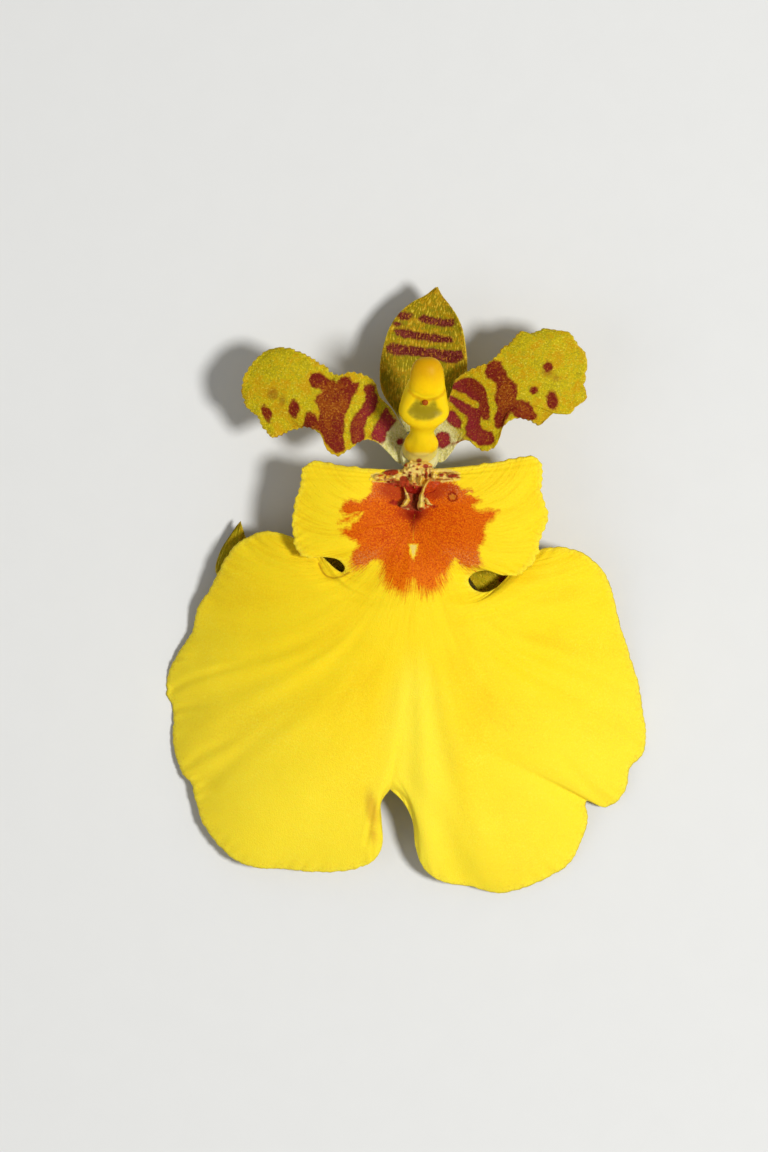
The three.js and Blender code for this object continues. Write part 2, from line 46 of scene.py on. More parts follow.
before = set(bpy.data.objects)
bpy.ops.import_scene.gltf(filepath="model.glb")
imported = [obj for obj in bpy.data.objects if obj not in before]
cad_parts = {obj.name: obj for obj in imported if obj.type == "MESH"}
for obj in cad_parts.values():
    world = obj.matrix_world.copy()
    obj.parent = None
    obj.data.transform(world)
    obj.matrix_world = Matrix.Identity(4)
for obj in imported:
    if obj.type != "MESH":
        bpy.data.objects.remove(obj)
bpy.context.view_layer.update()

MM = 0.001
BODY = "root"
BLADE = 0.6  # thickness of the solid petals, sepals and lip, mm
PLEAT = 0.09  # height of the lip's pleats, mm
WAVE = 0.28  # height of the waves along the edges of petals and sepals, mm
MERGED = 1e-4  # points that lie closer than this become one, mm
FAR = 9.0  # a distance beyond the reach of every marking, mm

# ---------------------------------------------------------------- the chart and its sheets

CHART_WIDE, CHART_HIGH = 768, 1152
CHART_MIDDLE = (CHART_WIDE / 2, CHART_HIGH / 2)
CHART_SCALE = 15.0  # chart units to the millimetre, at the chart's height
CHART_HEIGHT = 3.0  # height above the floor that the chart is drawn for, mm
EYE = (-1.5, 1.0, 403.0)  # where the camera stands, mm
# Left edge and top edge of each sheet on the chart, and its enlargement.
LIP_SHEET = (280, 440, 5.6)
LEFT_LOBE_SHEET = (160, 520, 4.126)
RIGHT_LOBE_SHEET = (420, 530, 4.181)
LEFT_PETAL_SHEET = (235, 330, 8.476)
RIGHT_PETAL_SHEET = (440, 320, 9.8)
SEPAL_SHEET = (235, 280, 4.296)
COLUMN_SHEET = (395, 350, 12.06)
CALLUS_SHEET = (365, 445, 14.25)


def on_flower(points, sheet, height):
    """Places on the flower, in mm, of points drawn on a sheet, at a height above the floor."""
    left, top, enlargement = sheet
    chart = np.asarray(points, float)[..., :2] / enlargement + (left, top)
    scale = CHART_SCALE * (EYE[2] - CHART_HEIGHT) / (EYE[2] - height)
    return (chart - CHART_MIDDLE) * (1, -1) / scale + EYE[:2]


def length_on_flower(length, sheet):
    """A length drawn on a sheet, in mm on the flower."""
    return length / sheet[2] / CHART_SCALE


# ---------------------------------------------------------------- curves and fields


def smooth(x, low, high):
    """0 below low, 1 above high, and a smooth step between them."""
    f = np.clip((np.asarray(x, float) - low) / (high - low), 0, 1)
    return f * f * (3 - 2 * f)


def fading(distance, width):
    """1 at no distance, and a soft fall to nothing over about twice the width."""
    return np.exp(-((distance / width) ** 2))


def values_at(rows, x):
    """Values at x on the smooth curve through rows of [x, value, value, ...]."""
    rows, x = np.asarray(rows, float), np.asarray(x, float)
    i = np.clip(np.searchsorted(rows[:, 0], x), 1, len(rows) - 1)
    width = np.diff(rows[:, 0])
    slopes = np.diff(rows[:, 1:], axis=0) / width[:, None]
    mean = (slopes[1:] + slopes[:-1]) / 2
    at_knot = np.concatenate([slopes[:1], mean, slopes[-1:]])
    rise, slope_in, slope_out = slopes[i - 1], at_knot[i - 1], at_knot[i]
    f = np.clip((x - rows[i - 1, 0]) / width[i - 1], 0, 1)[..., None]
    bend = f * (1 - f) * width[i - 1][..., None] * ((slope_in - rise) * (1 - f) - (slope_out - rise) * f)
    return rows[i - 1, 1:] + (rows[i, 1:] - rows[i - 1, 1:]) * f + bend


def through(knots, t):
    """The point a share t of the way along the curve through the knots, with even steps between them."""
    knots = np.asarray(knots, float).reshape(len(knots), -1)
    return values_at(np.column_stack([np.linspace(0, 1, len(knots)), knots]), t)


def depth_inside(places, outline):
    """How deep places lie inside a closed outline, in mm, and negative outside it."""
    start, end = outline, np.roll(outline, -1, axis=0)
    edge = end - start
    point = places[..., None, :2]
    share = np.clip(((point - start) * edge).sum(-1) / (edge**2).sum(-1), 0, 1)
    gap = np.linalg.norm(point - start - share[..., None] * edge, axis=-1).min(-1)
    over = (start[:, 1] > point[..., 1]) != (end[:, 1] > point[..., 1])
    rise = np.where(edge[:, 1] == 0, 1e-9, edge[:, 1])
    crossing = over & (point[..., 0] < edge[:, 0] * (point[..., 1] - start[:, 1]) / rise + start[:, 0])
    return np.where(crossing.sum(-1) % 2 == 1, gap, -gap)


def depth_in_marks(places, sheet, height, outlines=(), spots=()):
    """How deep places lie inside any of the outlines and spots, in mm, and negative outside them. A spot is
    x, y, half width, half height and, for some, its turn in degrees."""
    depth = np.full(places.shape[:-1], -FAR)
    for outline in outlines:
        depth = np.maximum(depth, depth_inside(places, on_flower(outline, sheet, height)))
    for x, y, across, down, *turn in spots:
        centre = on_flower([(x, y)], sheet, height)[0]
        offset = places[..., :2] - centre
        angle = math.radians(turn[0] if turn else 0)
        along = offset[..., 0] * math.cos(angle) + offset[..., 1] * math.sin(angle)
        aside = offset[..., 1] * math.cos(angle) - offset[..., 0] * math.sin(angle)
        wide, high = length_on_flower(across, sheet), length_on_flower(down, sheet)
        share = np.hypot(along / wide, aside / high)
        depth = np.maximum(depth, (1 - share) * min(wide, high))
    return depth


def along_line(places, line):
    """Distance of places from a line of points, in mm, and how far along it (0 to 1) they lie."""
    best = np.full(places.shape[:-1], 1e9)
    share = np.zeros(places.shape[:-1])
    for i in range(len(line) - 1):
        edge = line[i + 1] - line[i]
        f = np.clip(((places[..., :2] - line[i]) @ edge) / (edge @ edge), 0, 1)
        gap = np.linalg.norm(places[..., :2] - line[i] - f[..., None] * edge, axis=-1)
        nearer = gap < best
        best = np.where(nearer, gap, best)
        share = np.where(nearer, (i + f) / (len(line) - 1), share)
    return best, share


def creased(grid, creases, height):
    """Presses creases (sheet, half width mm, depth mm, points from the inner end) into a grid of places."""
    for sheet, width, depth, points in creases:
        gap, share = along_line(grid, on_flower(points, sheet, height))
        r = (gap / width) ** 2
        grid[..., 2] -= depth * (1 - 0.9 * r) * np.exp(-r) * smooth(share, 0, 0.35)
    return grid


def lengths_along(grid, axis):
    """Distance along one axis of a grid of places from its first row, in mm."""
    steps = np.linalg.norm(np.diff(grid, axis=axis), axis=-1)
    pad = [(0, 0), (0, 0)]
    pad[axis] = (1, 0)
    return np.pad(np.cumsum(steps, axis=axis), pad)


# ---------------------------------------------------------------- meshes and pieces


def write_fields(mesh, fields):
    """Gives each field's values to the mesh's points, as a float attribute that materials read."""
    for name, values in fields.items():
        layer = mesh.attributes.new(name, "FLOAT", "POINT")
        layer.data.foreach_set("value", np.ascontiguousarray(values, dtype=np.float32))


def mesh_of(name, points, faces, fields):
    """A mesh in mm with its fields. Points that lie together are merged, and faces point outwards."""
    mesh = bpy.data.meshes.new(name)
    mesh.from_pydata([tuple(p) for p in points], [], [tuple(int(i) for i in f) for f in faces])
    write_fields(mesh, fields)
    cleaned = bmesh.new()
    cleaned.from_mesh(mesh)
    bmesh.ops.remove_doubles(cleaned, verts=cleaned.verts, dist=MERGED)
    bmesh.ops.recalc_face_normals(cleaned, faces=cleaned.faces)
    if cleaned.calc_volume(signed=True) < 0:
        bmesh.ops.reverse_faces(cleaned, faces=cleaned.faces)
    cleaned.to_mesh(mesh)
    cleaned.free()
    return mesh


def grid_faces(rows, columns, start=0, wrap=False):
    """Quads of a grid of points numbered row by row. A wrapped grid's last column joins its first."""
    i = np.arange(rows - 1)[:, None]
    j = np.arange(columns if wrap else columns - 1)[None, :]
    k = (j + 1) % columns
    corners = [i * columns + j, (i + 1) * columns + j, (i + 1) * columns + k, i * columns + k]
    return start + np.stack([c + 0 * i * j for c in corners], -1).reshape(-1, 4)


def finished(obj, material, slot, *nodes):
    """Scales a piece to metres, gives it its material and body, and hides the solids that it stands for."""
    obj.data.transform(Matrix.Scale(MM, 4))
    obj.data.materials.clear()
    obj.data.materials.append(material)
    obj.data.shade_smooth()
    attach(obj, BODY)
    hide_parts(*nodes)
    return obj


def placed(name, data):
    obj = bpy.data.objects.new(name, data)
    bpy.context.scene.collection.objects.link(obj)
    return obj


def evaluated(obj):
    """Replaces an object's mesh by the result of its modifiers, and removes them."""
    graph = bpy.context.evaluated_depsgraph_get()
    mesh = bpy.data.meshes.new_from_object(obj.evaluated_get(graph))
    mesh.name = obj.name
    obj.modifiers.clear()
    obj.data = mesh
    return obj


def leaf_sides(middle, inland, settings):
    """Heights of a leaf's front and back. It has the solid's thickness, and thins to a round rim."""
    rim = settings.rim / MM
    turn = np.sqrt(1 - (1 - np.clip(inland / rim, 0, 1)) ** 2) * rim / 2
    full = (1 - (1 - np.clip(inland / (settings.feather / MM), 0, 1)) ** 2) * (BLADE - rim)
    base = middle[..., 2] - BLADE / 2 + rim / 2
    return base + full + turn, base - turn


def leaf_mesh(name, leaves, settings):
    """A closed blade from leaves that share edges. A leaf is its middle places, their distance from the rim
    and its fields. The field ribs gives how far the back stands out."""
    points, faces, fields, start = [], [], {}, 0
    for middle, inland, marks in leaves:
        above, below = leaf_sides(middle, inland, settings)
        for front, level in ((1.0, above), (0.0, below - marks["ribs"])):
            points.append(np.dstack([middle[..., :2], level]).reshape(-1, 3))
            faces.append(grid_faces(*inland.shape, start))
            start += inland.size
            for key, values in {"front": front, "rim": inland, **marks}.items():
                fields.setdefault(key, []).append(np.broadcast_to(values, inland.shape).ravel())
    joined = {key: np.concatenate(parts) for key, parts in fields.items()}
    return mesh_of(name, np.vstack(points), np.vstack(faces), joined)


# ---------------------------------------------------------------- materials


class Finish:
    """The nodes of one material. It reads the mesh's own fields, and its patterns are measured in mm."""

    def __init__(self, name, **surface):
        self.material = bpy.data.materials.new(name)
        self.material.use_nodes = True
        self.tree = self.material.node_tree
        self.tree.nodes.clear()
        self.shader = self.tree.nodes.new("ShaderNodeBsdfPrincipled")
        output = self.tree.nodes.new("ShaderNodeOutputMaterial")
        self.tree.links.new(self.shader.outputs["BSDF"], output.inputs["Surface"])
        coordinates = self.tree.nodes.new("ShaderNodeTexCoord").outputs["Object"]
        self.place = self.node("ShaderNodeVectorMath", {0: coordinates, "Scale": 1 / MM}, operation="SCALE")
        self.fill(self.shader, surface)

    def fill(self, node, inputs):
        for key, value in inputs.items():
            key = key.replace("_", " ") if isinstance(key, str) else key
            socket = node.inputs[key]
            if isinstance(value, bpy.types.NodeSocket):
                self.tree.links.new(value, socket)
            elif socket.type == "RGBA" and len(value) == 3:
                socket.default_value = (*value, 1)
            else:
                socket.default_value = value

    def node(self, kind, inputs, output=0, **settings):
        node = self.tree.nodes.new(kind)
        for key, value in settings.items():
            setattr(node, key, value)
        self.fill(node, inputs)
        return node.outputs[output]

    def field(self, name):
        return self.node("ShaderNodeAttribute", {}, "Fac", attribute_name=name)

    def math(self, operation, *values, clamp=False):
        return self.node("ShaderNodeMath", dict(enumerate(values)), operation=operation, use_clamp=clamp)

    def add(self, *values):
        return reduce(partial(self.math, "ADD"), values)

    def times(self, first, second):
        return self.math("MULTIPLY", first, second)

    def less(self, value, amount):
        return self.math("SUBTRACT", value, amount)

    def frayed(self, field, pattern, amount):
        """A field whose border a pattern roughens by an amount."""
        return self.add(self.field(field), self.times(pattern, amount))

    def step(self, value, low, high, start=0.0, end=1.0):
        """A smooth step from start to end, while the value goes from low to high."""
        inputs = {0: value, 1: low, 2: high, 3: start, 4: end}
        return self.node("ShaderNodeMapRange", inputs, interpolation_type="SMOOTHSTEP")

    def mix(self, factor, first, second):
        return self.node("ShaderNodeMix", {0: factor, 6: first, 7: second}, 2, data_type="RGBA")

    def grained(self, grain, dark, light):
        """A colour with lighter grains."""
        return self.mix(self.step(grain, -0.1, 0.2), dark, light)

    def stretched(self, along, across, along_scale, across_scale):
        """Coordinates from two fields, scaled apart, for streaks."""
        parts = {0: self.times(along, along_scale), 1: self.times(across, across_scale)}
        return self.node("ShaderNodeCombineXYZ", parts)

    def noise(self, per_mm, detail=2.0, place=None, shift=0.0):
        """Noise around 0, about -0.5 to 0.5."""
        vector = place or self.place
        if shift:
            vector = self.node("ShaderNodeVectorMath", {0: vector, 1: (shift, shift, shift)}, operation="ADD")
        inputs = {"Vector": vector, "Scale": per_mm, "Detail": detail, "Roughness": 0.55}
        return self.less(self.node("ShaderNodeTexNoise", inputs, "Fac"), 0.5)

    def cells(self, per_mm, place=None):
        """Distance to the middle of round cells, 0 at a middle to about 0.7 at their borders."""
        return self.node("ShaderNodeTexVoronoi", {"Vector": place or self.place, "Scale": per_mm}, "Distance")

    def bump(self, height, depth_mm, below=None):
        inputs = {"Strength": 1.0, "Distance": depth_mm * MM, "Height": height}
        if below is not None:
            inputs["Normal"] = below
        return self.node("ShaderNodeBump", inputs)

    def done(self, color, roughness, normal):
        self.fill(self.shader, {"Base Color": color, "Roughness": roughness, "Normal": normal})
        return self.material


TISSUE = {
    "Subsurface_Weight": 0.25,
    "Subsurface_Radius": (1.0, 0.7, 0.15),
    "Subsurface_Scale": 0.0003,
    "IOR": 1.4,
    "Specular_IOR_Level": 0.06,
}
WAX = {**TISSUE, "Subsurface_Weight": 0.35, "Coat_Weight": 0.04, "Coat_Roughness": 0.4}


class LipFinish(Finish):
    """The lip's tissue, with the patterns that its yellow, its blotch and its relief share."""

    def __init__(self):
        super().__init__("lip_tissue", **TISSUE)
        self.fan, self.reach = self.field("fan"), self.field("reach")
        self.side, self.fringe = self.field("side"), self.field("fringe")
        self.veins = self.noise(1.0, 2, self.stretched(self.fan, self.reach, 30.0, 0.3))
        self.fine_veins = self.noise(1.0, 3, self.stretched(self.fan, self.reach, 70.0, 1.0))
        self.rays = self.noise(1.0, 2, self.stretched(self.fan, self.reach, 5.0, 0.12))
        self.grain, self.broad = self.noise(8.0, 3), self.noise(0.35, 2)
        self.ragged = self.add(self.times(self.noise(1.6, 2), 0.5), self.times(self.noise(5.0, 3), 0.7))


def lip_yellow(m, colours):
    """Velvety yellow with fine fanning veins, paler along the middle and at the rims, with painted sheen far
    out, painted glints, a painted shadow line along the left slit's folded rim and painted shade in the
    crease beside the notch.
    """
    vein_tone = m.times(m.veins, m.add(0.15, m.times(m.side, 0.5)))
    tone = m.add(m.times(m.rays, 0.7), m.times(m.broad, 0.15), vein_tone)
    coarse = m.step(m.reach, 7.0, 19.0, 0.35, 1.15)
    tone = m.add(tone, m.times(m.grain, m.times(coarse, 0.6)))
    color = m.mix(m.step(tone, -0.42, 0.08), colours.lip_gold, colours.lip_yellow)
    rim = m.step(m.frayed("rim", m.grain, 0.3), 0.0, 0.5, 0.5, 0.0)
    color = m.mix(rim, color, colours.lip_pale)
    median = m.step(m.add(m.math("ABSOLUTE", m.fan), m.times(m.rays, 0.12)), 0.0, 0.16, 0.7, 0.0)
    median = m.times(median, m.step(m.reach, 8.0, 12.0))
    # the pale middle line, and painted sheen that pales the lip far out, towards its edges
    outer = m.math("MAXIMUM", median, m.step(m.reach, 11.0, 22.0, 0.0, 0.4))
    color = m.mix(outer, color, colours.lip_pale)
    # painted glints: pale sparks, more of them far out on the lip
    sparkle = m.step(m.add(m.noise(9.0, 2, shift=4.0), m.times(m.broad, 0.3)), 0.0, 0.3, 0.0, 0.6)
    color = m.mix(m.times(sparkle, coarse), color, colours.lip_pale)
    worn = m.step(m.frayed("rim", m.noise(6.0, 3, shift=6.0), 3.0), -0.7, 0.5, 0.35, 0.0)
    color = m.mix(worn, color, colours.petal_tan)
    # painted shadow: a rust line along the folded rim at the left slit
    color = m.mix(m.step(m.field("slit_fold_shadow"), -0.06, 0.05, 0.0, 0.65), color, colours.petal_rust)
    # painted shade: tan patches in the crease beside the notch
    notch_crease_shade = m.step(m.frayed("notch_crease_shade", m.grain, 0.4), -0.25, 0.22, 0.0, 0.5)
    return m.mix(notch_crease_shade, color, colours.petal_tan)


def lip_blotch(m, colours):
    """How far the blotch covers the lip, and its colour. It is ragged all round, and fades out below in
    streaks along the veins. Its four corners carry painted sheen: a pink tint and pale glints."""
    streaks = m.times(m.times(m.fine_veins, m.add(0.3, m.fringe)), 1.6)
    depth = m.add(m.field("blotch"), m.add(m.times(m.ragged, 0.7), streaks))
    soft = m.add(m.times(m.fringe, 0.6), m.times(m.side, 0.15), 0.2)
    cover = m.math("DIVIDE", m.add(depth, m.times(soft, 0.5)), soft, clamp=True)
    inner = m.add(m.frayed("blotch", m.grain, 1.2), m.times(m.broad, 1.5), m.times(m.rays, 3.0))
    color = m.mix(m.step(inner, 0.2, 2.6), colours.blotch_orange, colours.blotch_red)
    # painted reflection: the blotch's corners are tinted pink and paler, standing in for sheen
    sheen_corner = m.step(m.frayed("sheen_corner", m.grain, 1.2), 0.3, 1.0, 0.0, 0.8)
    color = m.mix(sheen_corner, color, colours.blotch_sheen_pink)
    color = m.mix(m.times(m.frayed("deep", m.broad, 0.5), 0.9), color, colours.blotch_crimson)
    speckle = m.add(m.noise(9.5, 2), m.times(m.fringe, 0.1), m.times(m.field("deep"), -0.16))
    color = m.mix(m.step(speckle, -0.08, 0.12, 0.0, 0.9), color, colours.blotch_light)
    dark = m.step(m.add(m.noise(9.0, 2, shift=9.0), m.times(m.fine_veins, 0.3)), 0.0, 0.2, 0.0, 0.65)
    color = m.mix(dark, color, colours.blotch_dark)
    # painted sheen: pale glints strewn over the blotch's corners
    sheen = m.step(m.add(m.noise(11.0, 2, shift=13.0), m.times(m.broad, 0.3)), 0.0, 0.14, 0.0, 0.5)
    color = m.mix(m.times(sheen, m.field("sheen_corner")), color, colours.blotch_sheen)
    return cover, m.mix(m.times(m.frayed("heart", m.grain, 0.3), 0.85), color, colours.crimson)


def lip_material(colours):
    """Veined yellow under the orange-red blotch, with the marks that lie round the callus."""
    m = LipFinish()
    cover, blotch = lip_blotch(m, colours)
    shown = m.times(cover, m.step(m.field("front"), 0, 1, 0.35, 1.0))
    color = m.mix(shown, lip_yellow(m, colours), blotch)

    midline = m.step(m.frayed("midline", m.grain, 0.1), -0.03, 0.06, 0.0, 0.8)
    color = m.mix(midline, color, colours.lip_gold)
    pale = m.step(m.frayed("pale", m.grain, 0.2), -0.06, 0.1, 0.0, 0.92)
    color = m.mix(pale, color, colours.callus_cream)
    crimson = m.step(m.frayed("crimson", m.ragged, 0.2), -0.08, 0.1, 0.0, 0.92)
    color = m.mix(crimson, color, m.grained(m.grain, colours.crimson, colours.crimson_light))
    scar = m.frayed("scar", m.grain, 1.1)
    ring = m.step(m.math("ABSOLUTE", m.less(scar, 0.85)), 0.05, 0.35, 0.85, 0.0)
    color = m.mix(m.step(scar, 0.3, 0.85, 0.7, 0.0), color, colours.petal_tan)
    color = m.mix(ring, color, colours.crimson)

    pleats = m.times(m.veins, m.add(0.2, m.times(m.side, 0.4)))
    normal = m.bump(m.add(pleats, m.rays, m.times(m.broad, 0.4)), 0.14)
    normal = m.bump(m.times(m.fine_veins, m.add(0.3, m.side)), 0.02, normal)
    normal = m.bump(m.add(m.grain, m.times(m.cells(12.0), -0.7)), 0.02, normal)
    return m.done(color, m.add(0.52, m.times(m.grain, 0.25), m.times(cover, -0.06)), normal)


class BladeFinish(Finish):
    """A petal's or sepal's tissue, with the patterns that its ground, its marks and its relief share. Lines
    gives how strongly its cells run in rows from base to tip."""

    def __init__(self, name, lines):
        super().__init__(name, **TISSUE)
        self.lines = lines
        self.rows = self.noise(1.0, 1, self.stretched(self.field("across"), self.field("along"), 9.0, 2.2))
        self.grain, self.mottle = self.noise(7.0, 3), self.noise(1.9, 2, shift=11.0)
        self.broad, self.papillae = self.noise(0.7, 2, shift=7.0), self.cells(9.0)
        grain, rows = self.times(self.grain, 1 - 0.5 * lines), self.times(self.rows, 0.3 + 1.4 * lines)
        self.texture = self.add(grain, rows, self.times(self.mottle, 0.5))
        # strength of the painted glints here, and of the pale specks in the marks
        self.speckle = 0.8 - 0.2 * lines


def blade_ground(m, yellow, gold, colours):
    """Grainy yellow, golden towards the rim, with painted glints, a pale worn edge and a pale claw."""
    tone = m.add(m.broad, m.times(m.texture, 0.7), m.times(m.mottle, 0.5))
    color = m.mix(m.step(tone, -0.25, 0.15), gold, yellow)
    rim = m.step(m.frayed("rim", m.broad, 1.6), -0.3, 0.4, 0.8, 0.0)
    color = m.mix(rim, color, gold)
    shade = m.add(m.texture, m.times(m.broad, 0.5), m.times(m.papillae, 0.2))
    color = m.mix(m.step(shade, 0.0, 0.32, 0.0, 0.52 + 0.48 * m.lines), color, colours.shade_green)
    # painted glints: pale sparks in the grain, in rows on the sepals
    fine, rows = m.times(m.noise(8.0, 2, shift=3.0), 1 - 0.7 * m.lines), m.times(m.rows, 0.2 - 1.8 * m.lines)
    sparkle = m.step(m.add(fine, rows), 0.05, 0.26 + 0.06 * m.lines, 0.0, m.speckle)
    color = m.mix(sparkle, color, colours.petal_pale)
    worn = m.mix(m.step(m.add(m.mottle, m.grain), -0.05, 0.15), colours.petal_pale, colours.petal_tan)
    color = m.mix(m.step(m.frayed("rim", m.grain, 0.12), 0.0, 0.14, 0.6, 0.0), color, worn)
    # painted light: patches of the lateral sepals painted lighter yellow, as if lit
    color = m.mix(m.field("painted_light"), color, colours.petal_yellow)
    pale = m.step(m.frayed("pale", m.grain, 0.6), 0.0, 1.0, 0.0, 0.95)
    claw = m.mix(m.step(m.texture, -0.2, 0.2), colours.claw_green, colours.claw_white)
    return m.mix(pale, color, claw)


def blade_marks(m, mark, glow, colours):
    """How far the dark marks cover the blade, and their colour, which is lighter in places and tinted plum by
    the claw as painted sheen."""
    ragged = m.add(m.times(m.noise(2.2, 2), 0.5), m.times(m.noise(5.0, 3, shift=2.0), 0.35))
    depth = m.frayed("mark", ragged, 0.6)
    faint = m.step(m.frayed("faint", ragged, 0.4), -0.15, 0.15, 0.0, 0.45)
    light = m.add(m.texture, m.times(m.broad, 0.5), m.times(m.field("thin"), 0.17))
    color = m.mix(m.step(light, -0.1, 0.3), mark, glow)
    # painted sheen: the marks turn plum towards the claw
    base = m.step(m.frayed("along", m.broad, 3.0), 2.0, 6.0, 0.6 - 0.5 * m.lines, 0.0)
    color = m.mix(base, color, colours.petal_plum_sheen)
    color = m.mix(m.step(m.add(depth, m.times(m.grain, 0.2)), 0.0, 0.2, 0.5, 0.0), color, mark)
    rows = m.times(m.rows, -1.8 * m.lines)
    specks = m.add(m.noise(7.5, 3, shift=5.0), rows, m.times(m.field("thin"), 0.05))
    color = m.mix(m.step(specks, 0.05, 0.26, 0.0, m.speckle), color, colours.petal_tan)
    cover = m.math("MAXIMUM", m.step(depth, -0.11, 0.09), faint)
    return m.times(cover, m.step(m.field("front"), 0, 1, 0.5, 1.0)), color


def blade_material(name, yellow, gold, mark, glow, colours, lines):
    """Grainy tissue with dark marks that glow lighter in places, on petals and sepals."""
    m = BladeFinish(name, lines)
    cover, marks = blade_marks(m, mark, glow, colours)
    color = m.mix(cover, blade_ground(m, yellow, gold, colours), marks)
    normal = m.bump(m.add(m.rows, m.times(m.broad, 0.6)), 0.06)
    normal = m.bump(m.add(m.times(m.papillae, -0.8), m.times(m.grain, 1.2)), 0.045, normal)
    return m.done(color, m.add(0.46, m.times(m.grain, 0.3)), normal)


def column_material(colours):
    """Waxy yellow, golden at the knob, cream at the foot, sticky green in the stigma, and a line of painted
    shadow under the cap's edge.
    """
    m = Finish("column_tissue", **{**WAX, "Coat_Weight": 0.05})
    grain, broad = m.noise(6.0, 2), m.noise(0.9, 2)
    upper = m.step(m.frayed("height", broad, 0.8), 5.6, 7.6)
    color = m.mix(upper, colours.column_gold, colours.column_yellow)
    color = m.mix(m.step(m.frayed("flank", broad, 0.5), 0.25, 0.9, 0.0, 0.9), color, colours.cap_front)
    # painted shadow: a dark ring on the column under the cap's edge
    color = m.mix(m.step(m.frayed("cap_edge_shadow", grain, 0.06), 0.02, 0.16, 0.75, 0.0), color, colours.cap_shade)
    color = m.mix(m.step(m.add(broad, m.times(grain, 0.3)), -0.1, 0.35, 0.0, 0.5), color, colours.column_gold)
    color = m.mix(m.step(m.frayed("foot", grain, 0.2), -0.12, 0.15), color, colours.foot_cream)
    speck = m.step(m.frayed("crimson", grain, 0.1), -0.09, 0.04, 0.0, 0.9)
    color = m.mix(speck, color, m.grained(grain, colours.crimson, colours.crimson_light))
    green = m.step(m.add(m.frayed("stigma", grain, 0.06), m.times(broad, 0.12)), -0.1, 0.2)
    middle = m.step(m.add(broad, grain, m.field("stigma")), 0.4, -0.2)
    color = m.mix(green, color, m.mix(middle, colours.stigma_green, colours.stigma_yellow))
    roughness = m.add(0.42, m.times(grain, 0.2), m.times(green, -0.12))
    return m.done(color, roughness, m.bump(grain, 0.012, m.bump(broad, 0.05)))


def waxy_material(name, low, high, roughness):
    """A waxy finish that turns from one colour to the other along the field named shade."""
    m = Finish(name, **WAX)
    grain, broad = m.noise(7.0, 3), m.noise(1.3, 2)
    shade = m.add(m.frayed("shade", broad, 0.35), m.times(grain, 0.1))
    color = m.mix(m.step(shade, 0.0, 1.0), low, high)
    return m.done(color, m.add(roughness, m.times(grain, 0.15)), m.bump(grain, 0.012, m.bump(broad, 0.04)))


def callus_material(colours):
    """Cream and golden warts with crimson specks, crimson between them and on their lower sides."""
    m = Finish("callus_tissue", **{**TISSUE, "Coat_Weight": 0.04, "Coat_Roughness": 0.3})
    grain, broad = m.noise(6.0, 3), m.noise(1.2, 2)
    color = m.mix(m.step(m.add(broad, grain), -0.15, 0.25), colours.callus_cream, colours.callus_gold)
    tips = m.step(m.frayed("lift", grain, 0.3), 0.75, 1.15, 0.0, 0.8)
    color = m.mix(tips, color, colours.foot_cream)
    ragged = m.add(m.times(m.noise(3.0, 2), 0.5), m.times(grain, 0.4))
    red = m.mix(m.step(m.add(grain, m.times(broad, 0.5)), -0.1, 0.25), colours.crimson, colours.crimson_light)
    low = m.step(m.frayed("lift", ragged, 0.3), 0.32, 0.55, 1.0, 0.0)
    sunk = m.times(low, m.step(m.frayed("field", ragged, 0.2), -0.08, 0.1))
    crimson = m.step(m.frayed("crimson", ragged, 0.16), -0.07, 0.04)
    edge = m.step(m.frayed("lift", ragged, 0.12), 0.02, 0.14, 0.9, 0.0)
    color = m.mix(edge, color, colours.lip_yellow)
    skirt = m.times(low, m.step(m.frayed("skirt", ragged, 0.2), -0.05, 0.08))
    color = m.mix(skirt, color, m.grained(grain, colours.blotch_crimson, colours.blotch_red))
    color = m.mix(m.times(m.math("MAXIMUM", sunk, crimson), 0.95), color, red)
    return m.done(color, m.add(0.42, m.times(grain, 0.2)), m.bump(grain, 0.025))


def stalk_material(colours):
    """Streaked green, pale where the ovary meets the flower."""
    m = Finish("stalk_tissue", **TISSUE)
    grain, broad = m.noise(6.0, 3), m.noise(0.7, 2)
    streaks = m.step(m.add(broad, m.times(grain, 0.5)), -0.3, 0.3)
    color = m.mix(streaks, colours.stalk_green, colours.stalk_pale)
    color = m.mix(m.step(m.frayed("shade", grain, 0.2), 0.6, 0.9, 0.0, 0.9), color, colours.claw_white)
    return m.done(color, m.add(0.45, m.times(grain, 0.2)), m.bump(grain, 0.02, m.bump(broad, 0.05)))


# ---------------------------------------------------------------- lip

# Share of the midrib's length, x, y, height.
MIDRIB = [
    [0, 0.85, 8.1, 5.6],
    [0.15, 0.5, 5.0, 5.4],
    [0.32, 0.4, 1.4, 5.7],
    [0.45, 0.4, -1.4, 5.75],
    [0.62, 0.25, -5.0, 5.45],
    [0.8, -0.35, -8.9, 4.95],
    [1, -1.1, -13.2, 3.9],
]
NOTCH = MIDRIB[-1][1:]

